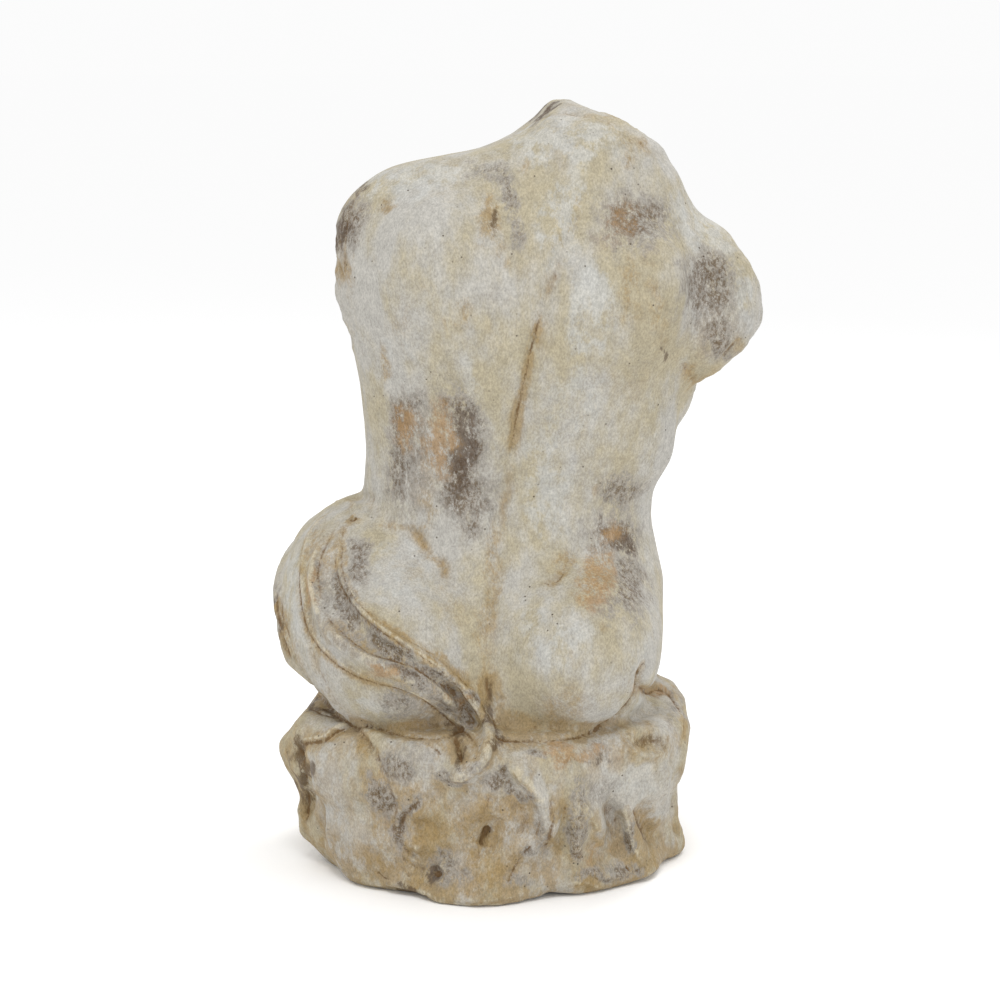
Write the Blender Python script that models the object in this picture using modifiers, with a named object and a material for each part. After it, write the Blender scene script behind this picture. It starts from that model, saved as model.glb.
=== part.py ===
"""Seated female torso on a rough rock seat, cast in one piece.

The head, both arms and both legs below mid thigh are broken away, and a cloth is wrapped round her left hip.
She faces -Y, so +X is her left and +Y her back, with +Z up. Metres, with the origin on the floor under the
middle of the sculpture.
"""

import math
from collections import namedtuple

import bmesh
import bpy
import numpy as np
from mathutils import Euler, Matrix, Vector
from mathutils.bvhtree import BVHTree

# Driving sizes, in metres
FIGURE_HEIGHT = 0.424  # seat to the top of the broken neck
SEAT_HEIGHT = 0.116  # floor to the seat
ROCK_WIDTH = 0.276  # widest, along X
ROCK_DEPTH = 0.244  # widest, along Y

# The figure is drawn 424 units high. Strokes on the rock are drawn on one 276 wide, 244 deep and 116 high.
UNIT = FIGURE_HEIGHT / 424
ROCK_UNITS = (ROCK_WIDTH / 276, ROCK_DEPTH / 244, SEAT_HEIGHT / 116)
FIGURE_PLACE = (0.0, 0.0)  # where her seat's middle is on the floor plan
ROCK_PLACE = (0.020, -0.002)

# Fineness of the modelling
RAYS = 160
LEVELS = 260
RAY_STEPS = 24
HALVINGS = 6
FARTHEST = max(0.5 * FIGURE_HEIGHT, 0.75 * ROCK_WIDTH, 0.85 * ROCK_DEPTH)
BELOW_FLOOR = 0.1 * SEAT_HEIGHT
VOXEL = (SEAT_HEIGHT + FIGURE_HEIGHT) / 190
SETTLING_ROUNDS = 3
SLOPE_STEP = 0.0004
TRIANGLES = 9500
STROKE_STEP = 4.0
STROKE_FADE = 0.16  # share of a stroke's length over which each end dies away
VIEWS = {"back": (0, -1, 0), "front": (0, 1, 0), "left": (-1, 0, 0), "right": (1, 0, 0)}

Section = namedtuple("Section", "height left right front back squareness")
Stroke = namedtuple("Stroke", "view width height points")

STONE_COLOUR = (0.58, 0.55, 0.48, 1.0)
STONE_ROUGHNESS = 0.8

# The trunk's outline at each height above the seat, without breasts, buttocks and limbs
TRUNK = (
    Section(-16, 100, -90, -70, 86, 2.3),
    Section(34, 108, -94, -76, 90, 2.3),
    Section(60, 110, -102, -75, 88, 2.3),
    Section(86, 110, -103, -73, 79, 2.3),
    Section(107, 110, -99, -71, 70, 2.3),
    Section(134, 109, -94, -67, 61, 2.3),
    Section(149, 109, -95, -65, 60, 2.3),
    Section(179, 107, -109, -62, 64, 2.3),
    Section(215, 109, -112, -62, 73, 2.3),
    Section(250, 114, -114, -66, 81, 2.3),
    Section(285, 119, -118, -66, 84, 2.3),
    Section(324, 122, -122, -58, 79, 2.3),
    Section(354, 120, -120, -44, 67, 2.2),
    Section(390, 114, -114, -30, 52, 2.1),
    Section(420, 110, -110, -24, 42, 2.1),
)

# The rock's outline, in hundredths of its width, depth and height
ROCK = (
    Section(-12, 42, -46.5, -45, 41, 2.05),
    Section(0, 43.5, -48, -47, 43, 2.05),
    Section(9, 46, -48.5, -48, 44, 2.1),
    Section(22, 48.5, -47.2, -49, 45, 2.1),
    Section(34, 47.6, -46.8, -50, 47, 2.2),
    Section(46, 47.4, -47.3, -50, 47.5, 2.25),
    Section(57, 49.8, -49, -50, 48, 2.3),
    Section(69, 51.6, -50.2, -49.5, 48, 2.35),
    Section(81, 50.6, -50.8, -49, 48, 2.4),
    Section(98, 47, -50, -46, 46, 2.5),
    Section(120, 42, -45, -42, 42, 2.5),
)
RIPPLES = ((5, 1.2, 2.0, 0.8), (8, 4.0, -1.6, 0.55), (13, 2.2, 2.4, 0.3))  # turns, phase, twist, share
RIPPLE_HEIGHT = 0.0045

# Ridges and grooves: the side they are drawn on, how wide and how high, and the line seen from that side,
# as places across and above the seat. A groove has a height below nought.
BACK_STROKES = (
    # Spine and the muscles beside it
    Stroke(
        "back", 5, -3, ((-44, 357), (-28, 322), (-18, 289), (-5, 241), (3, 188), (12, 140), (20, 28)),
    ),
    Stroke("back", 13, 2.5, ((-28, 358), (-12, 322), (2, 289), (14, 241), (22, 187), (31, 147))),
    Stroke("back", 13, 2.5, ((-62, 351), (-45, 318), (-35, 285), (-24, 239), (-16, 187), (-9, 147))),
    # Shoulder blades and the top of the hips
    Stroke("back", 5, -2, ((16, 368), (10, 348), (7, 326), (13, 300))),
    Stroke("back", 5, -2, ((-72, 364), (-72, 338), (-78, 313))),
    Stroke("back", 5, -2, ((77, 131), (63, 122), (51, 110), (48, 98))),
    Stroke("back", 5, -1.8, ((-47, 126), (-31, 108), (-19, 101))),
)
CLOTH_STROKES = (
    # The two long folds of the band round the left hip, and the grooves between and beside them
    Stroke(
        "back", 6.5, 7, ((134, 123), (139, 104), (131, 74), (116, 61), (98, 51), (55, 31), (42, 18), (31, 2))
    ),
    Stroke(
        "back", 5.5, 7, ((114, 113), (109, 92), (98, 78), (80, 65), (61, 52), (44, 38), (32, 23), (20, -1))
    ),
    Stroke("back", 3.2, -4, ((120, 75), (98, 63), (82, 54), (64, 46), (50, 33), (41, 24), (27, 4))),
    Stroke(
        "back", 3, -2.5, ((121, 131), (118, 113), (111, 95), (101, 81), (65, 59), (32, 28), (22, 15), (16, 0))
    ),
    Stroke(
        "back", 3, -3, ((143, 112), (149, 101), (147, 89), (140, 63), (119, 49), (82, 36), (46, 10), (38, 2))
    ),
    # The sheet outside the band
    Stroke("back", 3.5, 3, ((152, 83), (147, 62), (140, 42), (134, 25), (125, 10), (115, 0))),
    Stroke("back", 3, -2, ((161, 65), (157, 48), (148, 34), (137, 22), (124, 13))),
    # The hooked end of the cloth and the slot in it
    Stroke("back", 6, 9, ((24, 13), (19, 0), (21, -12), (28, -20), (38, -25), (47, -23))),
    Stroke("back", 2.6, -6, ((41, -1), (40, -9), (38, -16))),
    # Folds over the left hip and thigh
    Stroke("left", 6, 5, ((-96, 108), (-52, 104), (-6, 84), (40, 48), (62, 20))),
    Stroke("left", 5, -4, ((-98, 92), (-54, 88), (-8, 66), (34, 32), (52, 8))),
    Stroke("left", 6, 5, ((-98, 76), (-56, 70), (-14, 48), (20, 18))),
    Stroke("left", 5, -4, ((-96, 58), (-60, 52), (-24, 32), (4, 10))),
    Stroke("left", 6, 4, ((-94, 42), (-64, 34), (-34, 16))),
    # Folds across the lap and down the front
    Stroke("front", 5, 4, ((128, 120), (84, 100), (30, 92), (-20, 92), (-52, 96))),
    Stroke("front", 4, -3.5, ((120, 112), (76, 90), (26, 80), (-16, 80))),
    Stroke("front", 5, 4, ((76, 84), (56, 60), (50, 20), (60, -30), (74, -80))),
    Stroke("front", 4, -4, ((56, 74), (40, 44), (36, 0), (42, -50), (50, -90))),
    Stroke("front", 5, 5, ((36, 76), (24, 40), (20, -10), (22, -60), (18, -100))),
    Stroke("front", 4, -4, ((16, 76), (8, 40), (4, -10), (2, -60), (-6, -96))),
    Stroke("front", 5, 4, ((0, 78), (-8, 50), (-14, 6), (-20, -40), (-34, -84))),
)
FRONT_STROKES = (
    # The middle line, the navel, the collar bones and the edge of the ribs
    Stroke("front", 6, -2.5, ((-16, 324), (-8, 280), (-4, 230), (2, 176), (5, 130))),
    Stroke("front", 5, -6, ((6, 122), (6, 116))),
    Stroke("front", 8, 2.4, ((-14, 340), (28, 348), (76, 342))),
    Stroke("front", 8, 2.4, ((-38, 338), (-70, 326), (-98, 306))),
    Stroke("front", 7, -2, ((2, 196), (26, 176), (56, 156))),
    Stroke("front", 7, -2, ((0, 196), (-26, 176), (-54, 156))),
)
ROCK_STROKES = (
    # The ledge and crevice on the left, and the long groove down from the seat
    Stroke("back", 3.5, -7, ((149, -23), (147, -38), (147, -61), (149, -81))),
    Stroke("back", 3, -4, ((147, -19), (134, -12), (127, -6), (113, -2), (96, 0), (73, -2))),
    Stroke(
        "back", 4, -6, ((110, -2), (98, -9), (90, -22), (86, -35), (82, -46), (79, -58), (80, -70), (69, -93))
    ),
    Stroke("back", 6, 4, ((64, -44), (72, -55), (73, -73), (66, -85))),
    Stroke("back", 3.5, -4, ((77, -82), (68, -92), (54, -91))),
    # The arch in the middle and its hollow
    Stroke("back", 6, 6, ((12, -15), (2, -19), (-11, -36), (-22, -47), (-22, -63), (-16, -75))),
    Stroke("back", 5, 4, ((14, -23), (18, -36), (23, -49), (28, -64))),
    Stroke("back", 8, -9, ((16, -51), (20, -66), (24, -82))),
    # The upright ridges on the right and the grooves between them
    Stroke("back", 5, 4, ((-43, -41), (-41, -62), (-38, -86))),
    Stroke("back", 4, 3.5, ((-47, -48), (-55, -67), (-59, -86))),
    Stroke("back", 5, 5, ((-76, -51), (-82, -80), (-87, -101))),
    Stroke("back", 4, -5, ((-85, -52), (-93, -77), (-97, -97))),
    Stroke("back", 5, -6, ((-65, -49), (-68, -72), (-71, -96))),
    Stroke("back", 4.5, -6, ((-31, -42), (-30, -64), (-27, -87))),
    # The hollow under the lump beside her, the crease round the lump and round the seat
    Stroke("back", 8, -6, ((-83, -11), (-93, -10), (-103, -14))),
    Stroke("back", 4, -4, ((-82, 41), (-84, 28), (-98, 9), (-110, 6), (-118, -3))),
    Stroke("back", 4.5, -3, ((14, 0), (-2, -3), (-22, -3), (-41, -3), (-60, 0), (-74, 14), (-84, 33))),
    # Plainer folds round the hidden sides
    Stroke("left", 6, -6, ((60, -6), (48, -36), (56, -70), (44, -100))),
    Stroke("left", 6, 5, ((26, -18), (14, -48), (22, -80), (10, -104))),
    Stroke("left", 6, -6, ((-8, -8), (-22, -44), (-16, -80), (-26, -106))),
    Stroke("left", 7, 5, ((-48, -14), (-58, -50), (-52, -90))),
    Stroke("right", 6, 5, ((52, -20), (40, -54), (46, -92))),
    Stroke("right", 6, -6, ((26, -16), (12, -44), (18, -76), (6, -104))),
    Stroke("right", 6, 5, ((-14, -20), (-24, -56), (-18, -96))),
    Stroke("right", 6, -6, ((-48, -10), (-60, -46), (-54, -84), (-62, -106))),
    Stroke("front", 6, -6, ((116, -20), (104, -54), (112, -100))),
    Stroke("front", 7, 5, ((134, -24), (126, -60), (134, -98))),
    Stroke("front", 6, -6, ((-56, -22), (-44, -58), (-54, -100))),
    Stroke("front", 7, 5, ((-84, -20), (-76, -60), (-84, -98))),
    # The lips along the foot
    Stroke("back", 5, 4, ((96, -105), (75, -105), (62, -109), (47, -113))),
    Stroke("back", 5, 4, ((-35, -100), (-45, -99), (-66, -108), (-82, -107), (-105, -111))),
)
STROKES = BACK_STROKES + CLOTH_STROKES + FRONT_STROKES + ROCK_STROKES


def melt(first, second, radius):
    """Joins two distances, with a fillet of about that radius where they meet."""
    share = np.clip(0.5 + 0.5 * (second - first) / radius, 0.0, 1.0)
    return second + (first - second) * share - radius * share * (1.0 - share)


def trim(form, cutter, radius):
    """Keeps what lies inside both distances, with a rounded edge."""
    return -melt(-form, -cutter, radius)


def plane(points, through, normal):
    """Distance outside a plane."""
    facing = np.array(Vector(normal).normalized())
    return (points - np.array(through)) @ facing


def egg(points, centre, radii, tilt=(0, 0, 0)):
    """Distance to an ellipsoid, tilted by degrees about X, Y and Z."""
    turn = np.array(Euler([math.radians(angle) for angle in tilt]).to_matrix())
    local = (points - np.array(centre)) @ turn
    radii = np.array(radii)
    near = np.linalg.norm(local / radii, axis=1)
    slope = np.linalg.norm(local / radii**2, axis=1)
    return near * (near - 1.0) / np.maximum(slope, 1e-9)


def limb(points, start, end, start_radius, end_radius):
    """Distance to a round limb that tapers from start to end."""
    start, end = np.array(start, float), np.array(end, float)
    along = end - start
    share = np.clip((points - start) @ along / (along @ along), 0.0, 1.0)
    nearest = start + share[:, None] * along
    return np.linalg.norm(points - nearest, axis=1) - (start_radius + (end_radius - start_radius) * share)


def smooth_curve(places, stations, values):
    """Values read at the places from a curve through the stations, with no overshoot between them."""
    stations, values = np.array(stations, float), np.array(values, float)
    steps = np.diff(stations)
    slopes = np.diff(values) / steps
    tangents = np.zeros(len(values))
    same_way = slopes[:-1] * slopes[1:] > 0
    tangents[1:-1][same_way] = 2 / (1 / slopes[:-1][same_way] + 1 / slopes[1:][same_way])
    tangents[0], tangents[-1] = slopes[0], slopes[-1]
    places = np.clip(places, stations[0], stations[-1])
    index = np.clip(np.searchsorted(stations, places) - 1, 0, len(steps) - 1)
    share = (places - stations[index]) / steps[index]
    rise = values[index + 1] - values[index]
    start = tangents[index] * steps[index]
    finish = tangents[index + 1] * steps[index]
    return values[index] + share * (
        start + share * (3 * rise - 2 * start - finish + share * (start + finish - 2 * rise))
    )


def stack(points, sections):
    """Distance to a form lofted through level sections, measured level."""
    heights = [section.height for section in sections]
    left, right, front, back, squareness = (
        smooth_curve(points[:, 2], heights, [section[k] for section in sections]) for k in range(1, 6)
    )
    across = points[:, 0] - (left + right) / 2
    along = points[:, 1] - (front + back) / 2
    near = (
        np.abs(2 * across / (left - right)) ** squareness + np.abs(2 * along / (back - front)) ** squareness
    ) ** (1 / squareness)
    reach = np.hypot(across, along)
    return reach - reach / np.maximum(near, 1e-6)


def trunk(points):
    """Waist, rib cage and the two unlike slopes of the shoulders."""
    body = stack(points, TRUNK)
    body = trim(body, plane(points, (52, 0, 385), (0.17, 0, 0.985)), 34)
    body = trim(body, plane(points, (109, 0, 366), (0.7, 0, 0.71)), 14)
    body = trim(body, plane(points, (-136, 0, 340), (-0.78, 0, 0.62)), 26)
    return trim(body, plane(points, (0, 0, -20), (0, 0, -1)), 10)


def shoulders(points, body):
    """Broken arm stumps, the neck and the shoulder blades."""
    body = melt(body, egg(points, (50, 60, 305), (40, 25, 56), (-8, 10, 0)), 22)
    body = melt(body, egg(points, (-74, 58, 288), (36, 26, 50), (-8, -24, 0)), 22)
    left_arm = egg(points, (80, 4, 308), (49, 44, 54), (0, 8, 0))
    left_arm = trim(left_arm, plane(points, (109, 0, 366), (0.7, 0, 0.71)), 12)
    left_arm = trim(left_arm, plane(points, (122, 0, 294), (0.98, -0.16, 0.08)), 5)
    body = melt(body, left_arm, 22)
    right_arm = egg(points, (-120, 0, 284), (54, 46, 60), (0, 22, 0))
    right_arm = trim(right_arm, plane(points, (-169, 0, 285), (-0.93, -0.34, -0.06)), 6)
    right_arm = trim(right_arm, plane(points, (-144, 0, 242), (-0.7, -0.1, -0.71)), 9)
    right_arm = trim(right_arm, plane(points, (-160, 0, 310), (-0.88, -0.2, 0.43)), 10)
    body = melt(body, right_arm, 20)
    slim = points * np.array((1.0, 1.4, 1.0))
    neck = limb(slim, (-36, 14, 330), (-56, 0, 450), 72, 50)
    neck = trim(neck, plane(points, (-64, 0, 410), (-0.45, -0.18, 0.88)), 8)
    neck = trim(neck, plane(points, (-40, 20, 419), (0, 0.5, 0.87)), 8)
    neck = trim(neck, plane(points, (-90, 0, 388), (-0.74, 0, 0.67)), 20)
    neck = trim(neck, plane(points, (-15, 0, 411), (0.72, 0.16, 0.68)), 8)
    return melt(body, neck, 24)


def chest(points, body):
    """Breasts and belly."""
    for side, centre in ((-1, (-64, -58, 214)), (1, (50, -60, 222))):
        breast = egg(points, centre, (43, 38, 37), (0, 0, 16 * side))
        slope = egg(points, (centre[0] - 4 * side, centre[1] + 18, centre[2] + 36), (40, 30, 54), (16, 0, 0))
        body = melt(body, melt(breast, slope, 36), 11)
    body = melt(body, egg(points, (-92, -26, 226), (34, 44, 42)), 8)
    return melt(body, egg(points, (6, -40, 118), (64, 36, 50)), 30)


def seat(points, body):
    """Buttocks, the covered hip and the broken thighs."""
    right_side = egg(points, (-38, 44, 50), (62, 68, 62), (0, 0, 6))
    left_side = egg(points, (80, 40, 50), (68, 68, 62), (0, 0, -8))
    body = melt(body, melt(right_side, left_side, 22), 12)
    body = melt(body, egg(points, (101, -10, 68), (70, 88, 79)), 10)
    left_thigh = limb(points, (96, -10, 66), (120, -104, 72), 60, 53)
    right_thigh = limb(points, (-40, 10, 46), (-58, -110, 56), 53, 48)
    left_thigh = trim(left_thigh, plane(points, (116, -124, 70), (0.22, -0.95, 0.2)), 4)
    right_thigh = trim(right_thigh, plane(points, (-58, -118, 60), (-0.2, -0.93, 0.3)), 4)
    return melt(melt(body, left_thigh, 14), right_thigh, 14)


def cloth_forms(points, body):
    """The cloth over the lap and hanging between the thighs."""
    lap = egg(points, (30, -66, 84), (82, 44, 32), (0, -12, 0))
    body = melt(body, lap, 16)
    fall = egg(points, (28, -82, 6), (66, 38, 96))
    return melt(body, fall, 16)


def rock(points):
    """The rock, with a lump beside her right hip and a rest under each thigh. Points are in metres."""
    size = np.array((ROCK_WIDTH, ROCK_DEPTH, SEAT_HEIGHT)) / 100
    shares = (points - np.array((*ROCK_PLACE, 0.0))) / size
    level = (size[0] + size[1]) / 2
    side = stack(shares, ROCK) * level
    turn = np.arctan2(shares[:, 1], shares[:, 0])
    for turns, phase, twist, share in RIPPLES:
        side += RIPPLE_HEIGHT * share * np.sin(turns * turn + phase + twist * points[:, 2] / SEAT_HEIGHT)
    body = side
    body = trim(body, points[:, 2] - SEAT_HEIGHT, 0.014)
    foot = egg(shares, (2, 38, 4), (14, 12, 34)) * level
    body = melt(body, foot, 0.012)
    lump = egg(shares, (-38.5, -4, 87), (12, 21, 27)) * level
    body = melt(body, lump, 0.012)
    for rest in (egg(shares, (27, -24, 88), (17, 26, 26)), egg(shares, (-24, -26, 88), (20, 24, 24))):
        body = melt(body, rest * level, 0.014)
    return body


def sculpture(points):
    """Distance to the whole sculpture, in metres: below nought inside."""
    figure = (points - np.array((*FIGURE_PLACE, SEAT_HEIGHT))) / UNIT
    body = trunk(figure)
    body = shoulders(figure, body)
    body = chest(figure, body)
    body = seat(figure, body)
    body = cloth_forms(figure, body)
    return melt(body * UNIT, rock(points), 0.005)


def spine_place(height):
    """A point inside every level of the sculpture, in metres, for the rays to start from."""
    seat_up = np.array((-116, -16, 64, 134, 244, 334, 384, 440)) * UNIT + SEAT_HEIGHT
    across = np.interp(height, seat_up, np.array((12, 12, 8, 6, 0, -20, -54, -54)) * UNIT)
    along = np.interp(height, seat_up, np.array((0, 0, 6, 0, 8, 8, 4, 0)) * UNIT)
    return np.stack([across, along], axis=1)


def skin_radius(heights, angles):
    """How far along each level ray the skin is."""
    start = spine_place(heights)
    heading = np.stack([np.cos(angles), np.sin(angles)], axis=1)

    def at(radius):
        level = start + heading * radius[:, None]
        return sculpture(np.column_stack([level, heights]))

    steps = np.linspace(0.0, FARTHEST, RAY_STEPS)
    inner = np.zeros(len(heights))
    for radius in steps[:-1]:
        inside = at(np.full(len(heights), radius)) < 0
        inner[inside] = radius
    outer = inner + steps[1]
    for _ in range(HALVINGS):
        middle = (inner + outer) / 2
        inside = at(middle) < 0
        inner[inside] = middle[inside]
        outer[~inside] = middle[~inside]
    return (inner + outer) / 2


def mesh_points(mesh):
    """The mesh's vertex places as an array."""
    flat = np.empty(len(mesh.vertices) * 3, np.float32)
    mesh.vertices.foreach_get("co", flat)
    return flat.reshape(-1, 3).astype(float)


def set_mesh_points(mesh, points):
    """Moves the mesh's vertices to the places."""
    mesh.vertices.foreach_set("co", points.astype(np.float32).ravel())
    mesh.update()


def press_lump():
    """A sphere stood up as tall as the sculpture, each vertex pressed along its ray to the skin."""
    bm = bmesh.new()
    bmesh.ops.create_uvsphere(bm, u_segments=RAYS, v_segments=LEVELS, radius=1.0)
    mesh = bpy.data.meshes.new("lump")
    bm.to_mesh(mesh)
    bm.free()
    ball = mesh_points(mesh)
    top = SEAT_HEIGHT + FIGURE_HEIGHT + BELOW_FLOOR
    share = np.arccos(np.clip(ball[:, 2], -1.0, 1.0)) / math.pi
    heights = top - share * (top + BELOW_FLOOR)
    angles = np.arctan2(ball[:, 1], ball[:, 0])
    radius = skin_radius(heights, angles)
    radius[(share < 1e-4) | (share > 1 - 1e-4)] = 0.0
    level = spine_place(heights) + np.stack([np.cos(angles), np.sin(angles)], axis=1) * radius[:, None]
    set_mesh_points(mesh, np.column_stack([level, heights]))
    return mesh


def with_modifier(mesh, kind, **settings):
    """The mesh as one modifier leaves it."""
    holder = bpy.data.objects.new("holder", mesh)
    bpy.context.scene.collection.objects.link(holder)
    modifier = holder.modifiers.new(kind.title(), kind)
    for name, value in settings.items():
        setattr(modifier, name, value)
    graph = bpy.context.evaluated_depsgraph_get()
    made = bpy.data.meshes.new_from_object(holder.evaluated_get(graph))
    bpy.data.objects.remove(holder)
    return made


def settle(mesh):
    """Moves each vertex square onto the skin of the forms."""
    points = mesh_points(mesh)
    for _ in range(SETTLING_ROUNDS):
        here = sculpture(points)
        steps = np.eye(3) * SLOPE_STEP
        slope = np.stack([sculpture(points + step) - here for step in steps], axis=1) / SLOPE_STEP
        steep = np.maximum((slope * slope).sum(axis=1), 0.25)
        move = slope * (here / steep)[:, None]
        length = np.linalg.norm(move, axis=1, keepdims=True)
        points = points - move * np.minimum(1.0, VOXEL / np.maximum(length, 1e-9))
    set_mesh_points(mesh, points)


def mesh_normals(mesh):
    """The mesh's vertex normals as an array."""
    flat = np.empty(len(mesh.vertices) * 3, np.float32)
    mesh.vertices.foreach_get("normal", flat)
    return flat.reshape(-1, 3).astype(float)


def drop_stroke(stroke, tree):
    """The stroke's line, laid on the skin from the side it is drawn on."""
    drawn = np.array(stroke.points, float)
    along = np.concatenate([[0.0], np.cumsum(np.linalg.norm(np.diff(drawn, axis=0), axis=1))])
    places = np.linspace(0.0, along[-1], int(along[-1] / STROKE_STEP) + 2)
    across = smooth_curve(places, along, drawn[:, 0])
    height = smooth_curve(places, along, drawn[:, 1])
    heading = Vector(VIEWS[stroke.view])
    on_rock = height < 0
    across = across * np.where(on_rock, ROCK_UNITS[0] if heading.x == 0 else ROCK_UNITS[1], UNIT)
    height = SEAT_HEIGHT + height * np.where(on_rock, ROCK_UNITS[2], UNIT)
    level = Vector((0, 0, 1)).cross(heading)
    level = level if level.x + level.y > 0 else -level
    line = []
    for a, h in zip(across, height):
        start = level * a + Vector((0, 0, h)) - heading
        spot = tree.ray_cast(start, heading)[0]
        if spot is not None:
            line.append(spot)
    return np.array([tuple(spot) for spot in line])


def carve(mesh):
    """Raises the ridges and cuts the grooves of the strokes."""
    points = mesh_points(mesh)
    normals = mesh_normals(mesh)
    tree = BVHTree.FromPolygons([tuple(p) for p in points], [tuple(f.vertices) for f in mesh.polygons])
    lift = np.zeros(len(points))
    for stroke in STROKES:
        line = drop_stroke(stroke, tree)
        width = stroke.width * UNIT
        low, high = line.min(axis=0) - 3 * width, line.max(axis=0) + 3 * width
        near = np.flatnonzero(((points > low) & (points < high)).all(axis=1))
        start, end = line[:-1], line[1:]
        along = end - start
        length = np.maximum((along * along).sum(axis=1), 1e-12)
        offset = points[near][:, None] - start[None]
        share = np.clip((offset * along[None]).sum(axis=2) / length, 0.0, 1.0)
        distance = np.linalg.norm(offset - share[:, :, None] * along[None], axis=2)
        closest = distance.argmin(axis=1)
        rows = np.arange(len(near))
        place = (closest + share[rows, closest]) / len(start)
        fade = np.clip(np.minimum(place, 1 - place) / STROKE_FADE + 0.12, 0.0, 1.0)
        fade = fade * fade * (3 - 2 * fade)
        lift[near] += stroke.height * UNIT * fade * np.exp(-((distance[rows, closest] / width) ** 2))
    set_mesh_points(mesh, points + normals * lift[:, None])


def simplify(mesh):
    """The mesh with few enough triangles, most of them where the form turns."""
    bm = bmesh.new()
    bm.from_mesh(mesh)
    bmesh.ops.triangulate(bm, faces=bm.faces)
    share = TRIANGLES / len(bm.faces)
    bm.to_mesh(mesh)
    bm.free()
    return with_modifier(mesh, "DECIMATE", ratio=share)


def cut_foot(mesh):
    """Cuts the rock flat at the floor and closes it."""
    bm = bmesh.new()
    bm.from_mesh(mesh)
    everything = bm.verts[:] + bm.edges[:] + bm.faces[:]
    floor = {"plane_co": (0, 0, 0), "plane_no": (0, 0, -1)}
    cut = bmesh.ops.bisect_plane(bm, geom=everything, clear_outer=True, dist=1e-6, **floor)
    rim = [edge for edge in cut["geom_cut"] if isinstance(edge, bmesh.types.BMEdge)]
    sole = bmesh.ops.contextual_create(bm, geom=rim)
    bmesh.ops.triangulate(bm, faces=sole["faces"])
    bmesh.ops.recalc_face_normals(bm, faces=bm.faces)
    bm.to_mesh(mesh)
    bm.free()


def centre(mesh):
    """Stands the mesh on the floor with its bounding box over the origin."""
    points = mesh_points(mesh)
    middle = (points.min(axis=0) + points.max(axis=0)) / 2
    mesh.transform(Matrix.Translation((-middle[0], -middle[1], 0)))


def stone():
    """Pale cast stone."""
    material = bpy.data.materials.new("aged_cast_stone")
    material.use_nodes = True
    surface = material.node_tree.nodes["Principled BSDF"]
    surface.inputs["Base Color"].default_value = STONE_COLOUR
    surface.inputs["Roughness"].default_value = STONE_ROUGHNESS
    return material


def clear_scene():
    """Removes what the scene starts with."""
    for thing in list(bpy.data.objects):
        bpy.data.objects.remove(thing)


def main():
    """Builds the sculpture as one closed body."""
    clear_scene()
    mesh = with_modifier(press_lump(), "REMESH", mode="VOXEL", voxel_size=VOXEL)
    settle(mesh)
    carve(mesh)
    mesh = simplify(mesh)
    cut_foot(mesh)
    centre(mesh)
    mesh.name = "seated_torso"
    mesh.materials.clear()
    mesh.materials.append(stone())
    group = bpy.data.collections.new("seated_torso_sculpture")
    bpy.context.scene.collection.children.link(group)
    group.objects.link(bpy.data.objects.new("seated_torso", mesh))


if __name__ == "__main__":
    main()
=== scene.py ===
"""Looks of the seated torso: its cast stone skin, its patina, a pale studio and the photograph's camera.

Metres, with +Z up. She faces -Y, so +X is her left and +Y is her back, the side that the photograph shows.
"""

import logging
import math
from collections.abc import Sequence
from dataclasses import dataclass, field
from enum import Enum

import bmesh
import bpy
import numpy as np
from mathutils import Matrix, Vector, noise
from mathutils.bvhtree import BVHTree
from mathutils.kdtree import KDTree


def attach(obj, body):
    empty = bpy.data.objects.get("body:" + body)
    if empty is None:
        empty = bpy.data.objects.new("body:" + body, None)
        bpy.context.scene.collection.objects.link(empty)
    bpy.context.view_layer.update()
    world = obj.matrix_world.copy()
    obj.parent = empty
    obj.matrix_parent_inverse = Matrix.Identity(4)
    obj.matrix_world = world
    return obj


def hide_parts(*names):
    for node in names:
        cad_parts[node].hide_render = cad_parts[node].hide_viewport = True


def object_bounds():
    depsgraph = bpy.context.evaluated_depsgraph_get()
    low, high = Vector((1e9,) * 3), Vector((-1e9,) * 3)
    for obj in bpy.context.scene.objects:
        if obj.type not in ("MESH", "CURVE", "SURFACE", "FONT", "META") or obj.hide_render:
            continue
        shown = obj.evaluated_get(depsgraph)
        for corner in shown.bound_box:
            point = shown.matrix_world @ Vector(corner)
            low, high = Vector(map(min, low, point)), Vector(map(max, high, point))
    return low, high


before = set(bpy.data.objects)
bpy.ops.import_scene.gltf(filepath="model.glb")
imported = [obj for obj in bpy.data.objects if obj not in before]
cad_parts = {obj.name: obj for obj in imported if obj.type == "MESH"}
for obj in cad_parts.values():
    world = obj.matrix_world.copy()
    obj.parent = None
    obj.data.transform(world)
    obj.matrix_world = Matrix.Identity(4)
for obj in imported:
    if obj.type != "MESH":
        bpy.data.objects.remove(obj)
CAD_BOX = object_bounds()

LOG = logging.getLogger("seated_torso")
MM = 0.001
TINY = 1e-9

Spot = tuple[float, float]
Place = tuple[float, float, float]
Colour = tuple[float, float, float, float]
Span = tuple[float, ...]


def paint(red: int, green: int, blue: int) -> Colour:
    """Turns a colour as it looks on a screen, each part from 0 to 255, into what a shader takes.

    Args:
        red: Share of red.
        green: Share of green.
        blue: Share of blue.

    Returns:
        The colour with linear parts and full cover.
    """
    shares = np.array((red, green, blue)) / 255
    linear = np.where(shares <= 0.04045, shares / 12.92, ((shares + 0.055) / 1.055) ** 2.4)
    return (float(linear[0]), float(linear[1]), float(linear[2]), 1.0)


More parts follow.
